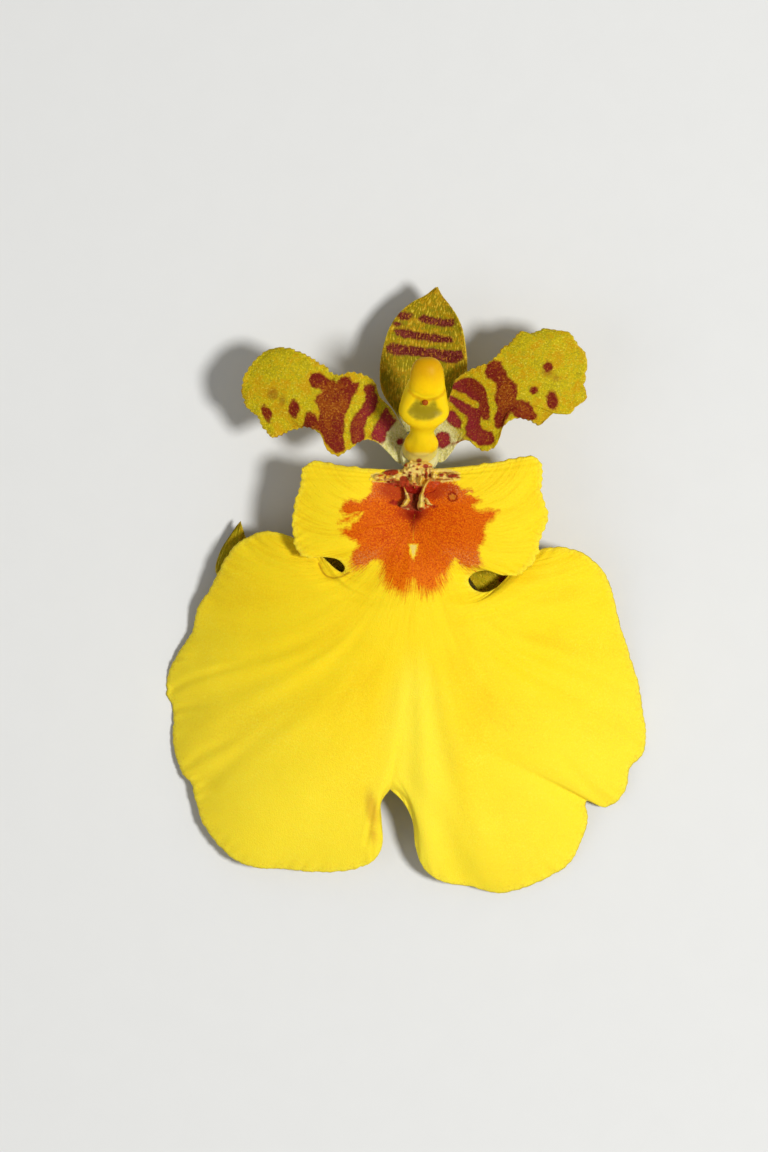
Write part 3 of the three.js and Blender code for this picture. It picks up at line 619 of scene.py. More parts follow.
# x, y and height of the points of each half's edge, from the base to the notch.
LEFT_EDGE = [
    [-6.1, 8.67, 5.7], [-6.83, 8.2, 5.6], [-7.0, 7.2, 5.6], [-7.37, 6.07, 5.5], [-7.57, 4.8, 5.4],
    [-7.5, 3.4, 5.4], [-7.2, 2.6, 5.5], [-6.6, 2.2, 5.55], [-5.5, 2.25, 5.5], [-4.6, 2.1, 5.3],
    [-4.12, 1.6, 5.1], [-4.3, 1.25, 4.95], [-4.8, 1.55, 4.9], [-5.35, 2.05, 4.75], [-6.1, 2.75, 4.1],
    [-7.1, 3.4, 3.75], [-9.1, 4.0, 3.4], [-10.5, 3.65, 3.0], [-11.6, 2.85, 2.7], [-12.35, 1.7, 2.4],
    [-13.1, 0.2, 1.9], [-13.97, -1.1, 1.4], [-14.37, -2.7, 1.0], [-15.2, -4.0, 0.75], [-15.85, -5.2, 0.5],
    [-16.1, -6.8, 0.15], [-15.65, -8.0, 0.45], [-15.65, -10.2, 0.6], [-15.1, -12.1, 0.9],
    [-14.43, -12.9, 1.1], [-14.1, -14.2, 1.2], [-13.6, -15.6, 1.3], [-12.6, -17.0, 1.4],
    [-11.4, -18.05, 1.5], [-9.9, -18.55, 1.6], [-8.1, -18.62, 1.75], [-6.2, -18.8, 1.85],
    [-3.8, -18.67, 2.1], [-2.2, -18.0, 2.5], [-1.6, -16.9, 2.8], [-1.65, -15.3, 3.2], [-1.68, -14.1, 3.6],
    NOTCH,
]
# The point of the edge that a vein runs to, the share of the midrib at which it leaves, the x and y that it
# bends towards, its bulge, how late the blade falls along it, and the pleats up to it.
LEFT_VEINS = [
    [0, 0, -2.6, 7.9, 0.4, 1, 0], [4, 0.09, -3.6, 6.1, 0.5, 1, 0.6], [7, 0.19, -3.2, 3.5, 0.3, 1, 1],
    [9, 0.26, -2.1, 2.5, 0.1, 1.1, 1], [10, 0.3, -1.9, 1.7, 0, 1.2, 1], [11, 0.335, -2.5, 0.3, 0, 1.3, 1],
    [12, 0.36, -3.3, -0.5, 0, 1.3, 1], [13, 0.38, -3.8, -1.0, 0, 1.4, 1],
    [15, 0.415, -4.6, -1.8, 0.05, 1.5, 1], [17, 0.44, -5.6, -2.4, 0.15, 1.7, 1.5],
    [19, 0.475, -6.0, -2.5, 0.25, 1.7, 2], [25, 0.61, -8.0, -5.5, 0.35, 1.7, 3.5],
    [31, 0.77, -7.0, -11.2, 0.25, 1.7, 5], [37, 0.9, -3.1, -14.6, 0.1, 1.6, 6],
    [39, 0.945, -2.4, -14.2, 0, 1.5, 6], [41, 0.985, -1.6, -13.5, 0, 1.2, 6], [42, 1, -1.1, -13.2, 0, 1, 6],
]
RIGHT_EDGE = [
    [8.23, 9.0, 5.7], [8.85, 8.6, 5.6], [8.97, 7.4, 5.5], [8.97, 6.4, 5.4], [9.37, 5.2, 5.3],
    [9.2, 4.2, 5.3], [8.8, 3.3, 5.4], [8.75, 2.6, 5.45], [8.2, 1.65, 5.5], [7.4, 1.1, 5.5],
    [6.4, 1.05, 5.5], [5.3, 1.35, 5.4], [4.5, 1.2, 5.25], [4.1, 0.7, 5.15], [4.5, 0.1, 5.0],
    [5.3, -0.05, 4.75], [6.1, 0.35, 4.4], [7.0, 1.3, 3.95], [8.0, 2.2, 3.7], [9.2, 2.85, 3.6],
    [10.6, 2.9, 3.4], [11.9, 2.45, 3.0], [13.1, 1.4, 2.5], [13.75, 0.0, 2.0], [14.25, -2.0, 1.4],
    [14.97, -4.3, 0.9], [15.6, -6.3, 0.55], [15.9, -8.2, 0.35], [16.1, -9.6, 0.15], [15.85, -11.0, 0.45],
    [15.05, -11.8, 0.65], [14.8, -13.0, 0.8], [14.2, -14.05, 0.9], [13.2, -14.5, 1.0], [12.05, -14.1, 1.2],
    [12.15, -15.4, 1.1], [11.6, -17.1, 0.9], [10.8, -18.4, 0.85], [9.3, -19.3, 0.85], [7.6, -20.0, 0.85],
    [6.0, -20.25, 0.95], [4.3, -19.8, 1.2], [2.5, -19.5, 1.6], [1.2, -18.6, 2.1], [0.6, -17.1, 2.6],
    [0.4, -15.4, 3.2], [-0.2, -14.1, 3.6], NOTCH,
]
RIGHT_VEINS = [
    [0, 0, 4.0, 8.1, 0.3, 1, 0], [4, 0.09, 4.9, 6.1, 0.45, 1, 0.6], [8, 0.2, 4.3, 3.3, 0.25, 1, 1],
    [11, 0.28, 2.9, 1.9, 0.1, 1.1, 1], [13, 0.34, 2.3, 0.9, 0, 1.2, 1], [14, 0.365, 3.0, -0.4, 0, 1.25, 1],
    [15, 0.39, 3.9, -1.3, 0, 1.5, 1], [18, 0.43, 5.3, -2.2, 0.05, 1.3, 1],
    [20, 0.46, 5.8, -2.5, 0.15, 1.1, 1.1], [23, 0.51, 6.3, -2.6, 0.25, 1.3, 2.2],
    [28, 0.65, 8.2, -6.5, 0.35, 1.6, 3], [32, 0.75, 7.2, -10.0, 0.3, 1.7, 3.5],
    [34, 0.79, 6.0, -10.9, 0.25, 1.7, 4], [38, 0.87, 4.0, -13.8, 0.15, 1.7, 5],
    [42, 0.93, 1.2, -14.4, 0.1, 1.6, 6], [44, 0.96, 0.8, -13.9, 0, 1.5, 6],
    [45, 0.975, 0.45, -13.8, 0, 1.4, 6], [46, 0.99, -0.3, -13.3, 0, 1.2, 6], [47, 1, -1.1, -13.2, 0, 1, 6],
]
# Heights at which the sheets' marks lie on the lip.
LIP_HEIGHT = 5.6
CALLUS_HEIGHT = LIP_HEIGHT + 0.6
SLIT_HEIGHT = 5.0
LOBE_HEIGHT = 2.0
FAN_BASE = (0.6, 5.0)  # where the veins fan out from
BLOTCH_MIDDLE = (745, 470)
FRINGE_TOP = (750, 640)  # the blotch breaks up into streaks below this point
# The painted shadow line along the folded rim at the left slit, the middle line under the callus, and two
# patches of painted shade in the crease beside the notch.
SLIT_FOLD = [(388, 742), (345, 765), (300, 775), (262, 764), (238, 740), (215, 690)]
MEDIAN_LINE = [(758, 400), (756, 450), (752, 510), (748, 560)]
NOTCH_CREASE_SHADES = [(874, 1190, 22, 70, 8), (880, 1290, 12, 34, 8)]

# Sheet, half width, depth, points from the inner end out to the rim.
LIP_CREASES = [
    (LIP_SHEET, 0.22, 0.16, SLIT_FOLD[1:]),
    (LEFT_LOBE_SHEET, 0.35, 0.15, [(380, 590), (230, 625), (120, 660), (30, 710)]),
    (LEFT_LOBE_SHEET, 0.22, 0.13, [(200, 770), (110, 770), (45, 790)]),
    (LEFT_LOBE_SHEET, 0.45, 0.12, [(360, 880), (240, 930), (150, 980), (85, 1040)]),
    (LEFT_LOBE_SHEET, 0.7, 0.1, [(640, 760), (480, 850), (330, 960), (200, 1080)]),
    (LEFT_LOBE_SHEET, 0.7, 0.1, [(700, 480), (520, 540), (330, 590), (150, 560)]),
    (LEFT_LOBE_SHEET, 0.22, 0.1, [(900, 1110), (880, 1180), (868, 1250), (850, 1330)]),
    (RIGHT_LOBE_SHEET, 0.5, 0.13, [(560, 900), (640, 1010), (720, 1090), (790, 1150)]),
    (RIGHT_LOBE_SHEET, 0.6, 0.1, [(560, 740), (700, 830), (820, 880), (930, 990)]),
    (RIGHT_LOBE_SHEET, 0.6, 0.08, [(540, 560), (680, 600), (820, 650), (960, 740)]),
    (RIGHT_LOBE_SHEET, 0.7, 0.07, [(100, 800), (110, 960), (150, 1130), (220, 1300)]),
]

# The blotch and the marks in it, on the lip's sheet.
BLOTCH = [
    (515, 205), (515, 232), (512, 262), (498, 300), (480, 330), (440, 345), (400, 330), (368, 345),
    (345, 375), (335, 400), (370, 422), (410, 422), (435, 404), (462, 406), (462, 426), (430, 448),
    (404, 470), (398, 496), (370, 490), (338, 500), (346, 530), (385, 546), (432, 566), (438, 590),
    (420, 610), (404, 640), (398, 680), (405, 712), (430, 722), (470, 712), (500, 690), (525, 672),
    (550, 668), (568, 690), (572, 740), (580, 790), (610, 830), (650, 850), (690, 875), (722, 850),
    (742, 800), (762, 840), (800, 860), (850, 862), (900, 830), (930, 765), (960, 700), (975, 665),
    (1000, 700), (1040, 722), (1090, 715), (1134, 692), (1116, 640), (1112, 600), (1142, 560), (1146, 500),
    (1168, 460), (1200, 442), (1222, 396), (1180, 385), (1130, 402), (1090, 388), (1086, 366), (1124, 340),
    (1112, 325), (1068, 312), (1042, 300), (1076, 286), (1070, 275), (1014, 277), (1000, 252), (972, 236),
    (930, 232), (880, 232), (870, 205),
]
HOOK = [(462, 396), (425, 406), (378, 432), (322, 458), (326, 470), (384, 452), (432, 424), (466, 410)]
WEDGE = [(722, 584), (772, 584), (762, 620), (750, 665), (742, 665), (732, 620)]
PALE_BASE = [
    (505, 195), (540, 182), (580, 190), (590, 150), (660, 130), (690, 60), (880, 60), (900, 150),
    (960, 165), (1010, 185), (1010, 225), (900, 240), (830, 240), (800, 380), (860, 360), (780, 400),
    (690, 385), (655, 360), (700, 330), (690, 240), (640, 250), (560, 235), (520, 240),
]
CRIMSON = [
    [(655, 262), (668, 226), (700, 214), (735, 240), (780, 245), (806, 262), (792, 300), (778, 345),
     (768, 392), (722, 385), (672, 366), (632, 352), (622, 336), (660, 346), (684, 348), (702, 330),
     (712, 300), (690, 272)],
    [(820, 262), (850, 250), (880, 262), (870, 292), (830, 300), (812, 340), (800, 330), (812, 290)],
]
# Marks of the callus, the column's foot and the lip round them, on the callus's sheet.
CALLUS_PATCHES = [
    [(250, 400), (300, 362), (380, 342), (450, 338), (478, 362), (462, 412), (400, 434), (300, 428)],
    [(490, 470), (540, 436), (596, 452), (606, 520), (598, 560), (540, 580), (500, 540)],
    [(928, 866), (980, 846), (1040, 862), (1046, 892), (990, 904), (934, 896)],
    [(330, 830), (350, 790), (420, 770), (470, 800), (474, 856), (420, 872)],
]
CALLUS_SPECKS = [
    (770, 220, 34, 24), (766, 275, 33, 13), (575, 285, 24, 20), (516, 285, 20, 15), (866, 300, 38, 28),
    (930, 308, 44, 10), (985, 280, 18, 34), (740, 345, 16, 13), (640, 390, 20, 12), (560, 396, 14, 10),
    (822, 425, 16, 11), (872, 420, 19, 82), (1090, 425, 34, 25, 20), (1066, 490, 44, 8),
    (1250, 439, 76, 28, 6), (1250, 389, 42, 7), (800, 915, 40, 25), (284, 478, 10, 32), (395, 490, 60, 9),
    (392, 552, 82, 14, -4), (925, 420, 10, 50), (690, 300, 9, 8), (700, 552, 26, 14), (1010, 500, 46, 8),
    (1160, 492, 44, 8, 4), (1330, 462, 30, 8), (230, 430, 40, 8, 12), (520, 330, 24, 12),
    (1160, 395, 30, 10, -10), (455, 300, 30, 14), (630, 430, 14, 26), (745, 430, 12, 22), (200, 500, 34, 9),
]
CALLUS_FIELD = [
    (490, 470), (560, 440), (620, 470), (640, 540), (700, 560), (770, 575), (850, 590), (880, 620),
    (845, 700), (840, 800), (800, 960), (735, 985), (690, 985), (620, 915), (520, 900), (450, 860),
    (500, 800), (560, 760), (560, 680), (500, 610),
]
LOWER_WING = [(286, 506), (400, 490), (560, 500), (600, 560), (480, 590), (330, 570)]
CALLUS_SKIRT = [
    (440, 560), (540, 590), (700, 590), (872, 600), (886, 520), (960, 506), (1130, 506), (1130, 720),
    (440, 720),
]
# Deeper reds of the lip round the callus, and a small healed scar, on the callus's sheet.
DEEP_RED = [(410, 640, 215, 130, -8), (980, 650, 180, 130), (1190, 620, 130, 70, -8), (690, 950, 215, 125)]
HEART = [(700, 940, 105, 150), (690, 1080, 36, 110)]
SCAR = (1245, 742)
SCAR_RADIUS = 0.33
LIP_RIBS = 44  # pairs of fine ribs on the back of each half


def lip_leaf(edge, veins, s, t):
    """Middle surface of one half of the lip: s runs round the edge and t out along a vein."""
    s, t = s[:, None], t[None, :]
    share, bend_x, bend_y, bulge, late, pleats = np.moveaxis(values_at(veins, s * (len(edge) - 1)), -1, 0)
    root = np.moveaxis(values_at(MIDRIB, share), -1, 0)
    end = np.moveaxis(through(edge, s), -1, 0)
    x = root[0] * (1 - t) ** 2 + 2 * bend_x * t * (1 - t) + end[0] * t**2
    y = root[1] * (1 - t) ** 2 + 2 * bend_y * t * (1 - t) + end[1] * t**2
    pleat = PLEAT * np.sin(2 * math.pi * pleats) * 4 * t**2 * (1 - 0.9 * t)
    z = root[2] + (end[2] - root[2]) * t**late + 16 * bulge * (t * (1 - t)) ** 2 + pleat
    return np.stack([x, y, z], -1)


def lip_halves(rows, steps):
    """The two halves of the lip's middle surface, which share the places of the midrib."""
    s = np.linspace(0, 1, rows + 1)
    t = 1 - (1 - np.linspace(0, 1, steps + 1)) ** 1.3
    share = values_at(LEFT_VEINS, s * (len(LEFT_EDGE) - 1))[:, 0]
    knots = np.array([[row[1], row[0] / (len(RIGHT_EDGE) - 1)] for row in RIGHT_VEINS])
    left = lip_leaf(LEFT_EDGE, LEFT_VEINS, s, t)
    right = lip_leaf(RIGHT_EDGE, RIGHT_VEINS, values_at(knots, share)[:, 0], t)
    right[:, 0] = left[:, 0]
    right[-1] = left[-1]
    return s, t, left, right


def scalloped(run, period, height, bites):
    """Outward swing of a rim: rounded scallops of about one period, with smaller bites between them."""
    wander = 0.35 * np.sin(run / period * 0.9 + 1) + 0.2 * np.sin(run / period * 2.3)
    scallops = np.abs(np.sin(math.pi * (run / period + wander))) ** 0.7 - 0.6
    fine = np.sin(2 * math.pi * run / (period * 0.41) + 3 * np.sin(run * 0.7))
    return height * scallops * (0.75 + 0.35 * np.sin(run * 0.61 + 2)) + bites * fine


def pushed_out(places, along, swing, reach):
    """Moves places in plan by a swing, out along a grid axis, and less the further they lie from the rim."""
    direction = np.gradient(places[..., :2], axis=along)
    direction /= np.maximum(np.linalg.norm(direction, axis=-1), 1e-9)[..., None]
    places[..., :2] += direction * (swing * reach)[..., None]


def lip_inland(run, down, shared, t):
    """Distance of the lip's places from the rim, out along their vein, and to the nearest rim of all."""
    total = run[:, -1:]
    out = total - run + (shared[:, None] - total) * (1 - t[None, :]) ** 3
    out = np.where(total > 0, np.maximum(out, 0), 0)
    return out, out * down / np.maximum((out**4 + down**4) ** 0.25, 1e-9)


def lip_leaves(settings, rows=410, steps=52):
    """The lip's two leaves, with folds along the veins, scalloped rims, fine ruffles and ribs on the back."""
    s, t, left, right = lip_halves(rows, steps)
    lengths = [lengths_along(half, 1) for half in (left, right)]
    shared = np.minimum(np.minimum(lengths[0][:, -1], lengths[1][:, -1]), 3.0)
    leaves = []
    for half, run, side in zip((left, right), lengths, (-1, 1)):
        down = lengths_along(half, 0)
        edge_run = down[:, -1:]
        out, inland = lip_inland(run, down, shared, t)
        off_midrib = smooth(run, 0, 1)
        middle = creased(half.copy(), LIP_CREASES, LOBE_HEIGHT)
        fan, reach = vein_fan(half)
        folds = np.sin(fan * 47 + 3 * np.sin(fan * 13)) * (0.6 + 0.4 * np.sin(fan * 17 + 1))
        middle[..., 2] += settings.folds / MM * folds * smooth(reach, 6, 13) * smooth(out, 0, 1)
        middle[..., 2] += 0.05 * fading(from_scar(half) - 1, 0.4)
        on_side = smooth(edge_run, 12.5, 10)
        swing = scalloped(edge_run, 1.25, 0.08, 0.02) * (1 + on_side) * smooth(run[:, -1:], 5.2, 7)
        pushed_out(middle, 1, swing * off_midrib, fading(out, 0.5) * smooth(down, 0, 0.5))
        top = scalloped(run, 1.7, 0.24, 0.05) * smooth(run, 3.0, 4.5)
        pushed_out(middle, 0, -top, fading(down, 0.5) * smooth(out, 0, 0.5))
        near_rim = fading(inland, 0.9) * smooth(inland, 0, 0.15)
        ripple = np.sin(s * 310 + side) * np.sin(s * 127 + 2) + 0.6 * np.sin(s * 523 + 4 * side)
        middle[..., 2] += settings.ruffle / MM * ripple[:, None] * near_rim * off_midrib
        middle[..., 2] = np.maximum(middle[..., 2], BLADE / 2)
        ribs = 0.05 * np.sin(s[:, None] * 2 * math.pi * LIP_RIBS) ** 2
        ribs = ribs * smooth(out, 0.3, 1.5) * smooth(run, 0.3, 2)
        leaves.append((middle, inland, {**lip_fields(middle), "ribs": ribs}))
    return leaves


def vein_fan(places):
    """Which vein of the lip a place lies on, as an angle, and how far out it lies. The veins bend apart."""
    x, y = places[..., 0] - FAN_BASE[0], FAN_BASE[1] - places[..., 1]
    reach = np.hypot(x, y)
    return np.arctan2(x, y) / (1 + 0.9 * smooth(reach, 4, 20)), reach


def from_scar(places):
    """Distance of places from the middle of the healed scar, in its radii."""
    scar = on_flower([SCAR], CALLUS_SHEET, LIP_HEIGHT)[0]
    return np.linalg.norm(places[..., :2] - scar, axis=-1) / SCAR_RADIUS


def lip_fields(places):
    """The lip's markings, as depths inside them in mm or as shares from 0 to 1, and its veins."""
    x, y = places[..., 0], places[..., 1]
    on_lip = partial(depth_in_marks, places, LIP_SHEET, LIP_HEIGHT)
    round_callus = partial(depth_in_marks, places, CALLUS_SHEET, LIP_HEIGHT)
    wedge = on_lip([WEDGE])
    top = on_flower([FRINGE_TOP], LIP_SHEET, LIP_HEIGHT)[0]
    middle = on_flower([BLOTCH_MIDDLE], LIP_SHEET, LIP_HEIGHT)[0]
    offset = np.abs(places[..., :2] - middle)
    crimson = round_callus([*CALLUS_PATCHES, LOWER_WING, CALLUS_FIELD], CALLUS_SPECKS)
    slit_fold_shadow, _ = along_line(places, on_flower(SLIT_FOLD, LIP_SHEET, SLIT_HEIGHT))
    median, _ = along_line(places, on_flower(MEDIAN_LINE, LIP_SHEET, LIP_HEIGHT))
    fan, reach = vein_fan(places)
    return {
        "blotch": np.minimum(on_lip([BLOTCH, HOOK]), -wedge),
        "fringe": smooth(top[1] - y, 0, 1.8),
        # where the painted sheen lies: the four corners round the blotch's middle
        "sheen_corner": np.minimum(smooth(offset[..., 0], 1.4, 3.4), smooth(offset[..., 1], 1.0, 2.6)),
        "deep": smooth(round_callus((), DEEP_RED), -0.3, 0.25),
        "heart": smooth(round_callus((), HEART), -0.25, 0.2),
        "scar": np.minimum(from_scar(places), FAR),
        "pale": np.maximum(on_lip([PALE_BASE]), wedge - 0.03),
        "crimson": np.maximum(crimson, on_lip(CRIMSON)),
        # painted shadow line along the left slit's folded rim
        "slit_fold_shadow": 0.05 - slit_fold_shadow,
        "midline": 0.06 - median,
        # painted shade in the crease beside the notch
        "notch_crease_shade": depth_in_marks(places, LEFT_LOBE_SHEET, LOBE_HEIGHT, (), NOTCH_CREASE_SHADES),
        "fan": fan,
        "reach": reach,
        "side": smooth(y, 0.0, 2.5) * smooth(np.abs(x - FAN_BASE[0]), 3.0, 5.0),
    }


# ---------------------------------------------------------------- callus

# Ridges and warts on the callus's sheet: start x, start y, end x, end y, half width, and height above the lip
# in mm.
CALLUS = [
    (640, 510, 890, 510, 195, 0.34), (600, 372, 925, 372, 88, 0.7), (620, 290, 900, 290, 70, 0.6),
    (135, 468, 560, 440, 76, 0.24), (980, 440, 1330, 440, 60, 0.24), (150, 456, 190, 446, 46, 0.44),
    (290, 462, 500, 448, 18, 0.52), (310, 530, 500, 520, 17, 0.5), (420, 592, 545, 582, 14, 0.44),
    (270, 400, 440, 376, 42, 0.44), (1010, 482, 1120, 492, 16, 0.5), (1070, 430, 1110, 424, 38, 0.44),
    (1190, 442, 1320, 440, 44, 0.38), (968, 400, 984, 470, 40, 0.84), (674, 452, 676, 505, 41, 1.0),
    (802, 450, 786, 545, 40, 1.02), (556, 345, 568, 395, 30, 0.74), (640, 330, 740, 326, 42, 0.8),
    (868, 350, 876, 480, 18, 0.8), (556, 606, 600, 720, 25, 0.72), (598, 715, 622, 790, 37, 0.95),
    (602, 785, 566, 846, 50, 1.0), (562, 850, 520, 870, 27, 0.78), (906, 498, 846, 590, 29, 0.86),
    (846, 588, 814, 700, 31, 0.98), (808, 695, 796, 820, 45, 1.16), (798, 820, 792, 890, 60, 1.2),
    (872, 770, 904, 830, 31, 0.88), (905, 828, 942, 850, 23, 0.7), (700, 585, 716, 625, 18, 0.6),
]
CALLUS_SEAT = -0.05  # height of the bumps' middles above the lip's surface
CALLUS_ROOT = 0.2  # depth of a bump below its middle
WART_GAP = 0.2
WART_SIZES = (0.5, 1.25)  # times the wart's radius


class LipTop:
    """The lip's upper surface, which seats the callus."""

    def __init__(self, settings):
        tops = []
        for middle, inland, _ in lip_leaves(settings, 180, 50):
            front, _ = leaf_sides(middle, inland, settings)
            tops.append(np.dstack([middle[..., :2], front]).reshape(-1, 3))
        self.places = np.vstack(tops)
        self.near = KDTree(len(self.places))
        for number, (x, y, _) in enumerate(self.places):
            self.near.insert((x, y, 0), number)
        self.near.balance()

    def under(self, places):
        """Heights of the lip's surface under places."""
        return np.array([self.places[self.near.find((x, y, 0))[1], 2] for x, y, _ in places])


def callus_mesh(lip, across=40, down=24):
    """A bump for each ridge and wart, which rises from the lip and has a short root in it."""
    bumps = []
    for *ends, half_width, height in CALLUS:
        first, last = on_flower([ends[:2], ends[2:]], CALLUS_SHEET, CALLUS_HEIGHT)
        (x, y), (dx, dy) = (first + last) / 2, last - first
        wide = length_on_flower(half_width, CALLUS_SHEET)
        shape = {
            "centre": (x, y, CALLUS_SEAT),
            "radii": (math.hypot(dx, dy) / 2 + wide, wide, height),
            "turn": math.atan2(dy, dx),
        }
        places = ellipsoid_points(shape, across, down)[1].reshape(-1, 3)
        below = np.minimum(places[:, 2] - CALLUS_SEAT, 0)
        places[:, 2] -= below * (1 - min(1, CALLUS_ROOT / height))
        places[:, 2] += lip.under(places)
        bumps.append(places)
    return mesh_of("callus_bumps", *gathered(bumps, across, down), {})


def callus_fields(lip, places):
    """The callus's markings, as depths inside them in mm, and its height above the lip."""
    marks = partial(depth_in_marks, places, CALLUS_SHEET, CALLUS_HEIGHT)
    return {
        "crimson": marks(CALLUS_PATCHES, CALLUS_SPECKS),
        "field": marks([CALLUS_FIELD, LOWER_WING]),
        "skirt": marks([CALLUS_SKIRT]),
        "lift": places[:, 2] - lip.under(places),
    }


# ---------------------------------------------------------------- petals and sepals

# Each blade's two edges from base to tip (x and y of the first, x and y of the second), the points that close
# its end between them, its heights from base to tip, how far its edges cup upwards, and its teeth's size.
BLADES = {
    "petal_left": {
        "edges": [
            [0.15, 10.3, 0.1, 8.6], [-0.3, 11.0, -0.55, 8.5], [-1.0, 12.1, -1.3, 9.25],
            [-1.8, 12.95, -2.05, 9.9], [-2.1, 13.85, -2.9, 10.0], [-2.85, 14.35, -3.65, 9.5],
            [-3.8, 14.5, -4.55, 8.97], [-4.7, 14.3, -5.3, 9.4], [-5.4, 14.9, -5.75, 10.4],
            [-6.3, 15.4, -6.6, 10.85], [-7.43, 16.0, -7.6, 10.65], [-8.4, 16.2, -8.9, 10.15],
        ],
        "end": [
            [-9.4, 15.9], [-10.25, 15.1], [-10.85, 14.1], [-10.9, 13.0], [-10.5, 12.05], [-9.85, 11.6],
            [-9.5, 10.8],
        ],
        "heights": [4.4, 4.6, 5.0, 5.4, 5.5, 5.2],
        "cup": 0.5,
        "teeth": 0.13,
    },
    "petal_right": {
        "edges": [
            [1.6, 10.3, 1.65, 8.7], [1.85, 11.2, 2.35, 8.55], [2.5, 12.3, 2.95, 9.15],
            [2.95, 13.2, 3.4, 9.8], [3.15, 13.9, 4.0, 10.0], [3.7, 14.4, 4.55, 9.6], [4.5, 14.8, 5.05, 9.3],
            [5.3, 15.1, 5.75, 9.45], [5.9, 15.5, 6.15, 10.1], [6.3, 16.05, 6.45, 10.95],
            [7.0, 16.6, 7.3, 11.45], [7.6, 17.2, 8.1, 11.3], [8.3, 17.1, 8.75, 11.0],
            [9.1, 17.45, 9.0, 11.1],
        ],
        "end": [
            [10.0, 17.3], [10.8, 17.15], [11.4, 16.3], [11.9, 15.7], [11.95, 14.8], [11.8, 13.7],
            [11.9, 12.8], [11.35, 12.3], [10.7, 11.7], [10.05, 11.95], [9.5, 11.6],
        ],
        "heights": [4.4, 4.6, 5.0, 5.5, 5.6, 5.3],
        "cup": 0.5,
        "teeth": 0.1,
    },
    "dorsal_sepal": {
        "edges": [
            [0.0, 10.55, 1.7, 10.55], [-0.75, 11.9, 2.75, 11.9], [-1.5, 13.0, 3.5, 13.05],
            [-1.77, 13.9, 3.95, 14.05], [-1.77, 15.05, 4.05, 15.15], [-1.57, 16.2, 3.95, 16.3],
            [-1.2, 17.4, 3.75, 17.4], [-0.6, 18.4, 3.35, 18.35], [0.3, 19.2, 2.85, 19.1],
            [1.25, 19.7, 2.35, 19.75], [1.92, 20.22, 2.08, 20.25],
        ],
        "end": [],
        "heights": [3.4, 3.2, 2.9, 2.9, 3.2, 3.9],
        "cup": 0.85,
    },
    "lateral_sepal_left": {
        "edges": [
            [-0.75, 8.1, 0.3, 7.35], [-2.1, 7.3, -1.1, 5.1], [-3.8, 5.9, -3.1, 2.2], [-5.8, 4.5, -5.4, 0.3],
            [-7.9, 3.4, -7.9, -0.4], [-9.6, 3.2, -10.3, -0.2], [-10.6, 3.4, -12.6, 0.9],
            [-10.95, 4.2, -12.55, 2.5], [-11.1, 4.7, -11.4, 4.35],
        ],
        "end": [],
        "heights": [3.4, 3.1, 2.5, 1.8, 1.25, 1.3],
        "cup": 0.15,
    },
    "lateral_sepal_right": {
        "edges": [
            [1.4, 7.35, 2.45, 8.1], [2.7, 5.1, 3.8, 7.3], [3.3, 2.6, 5.5, 5.9], [4.8, 0.0, 7.3, 4.3],
            [6.7, -1.5, 9.1, 2.5], [8.9, -2.3, 10.7, 1.5], [10.8, -2.0, 11.8, 0.4], [12.1, -1.3, 12.5, -0.4],
        ],
        "end": [],
        "heights": [3.4, 3.2, 2.7, 2.1, 1.4, 0.9],
        "cup": 0.15,
    },
}

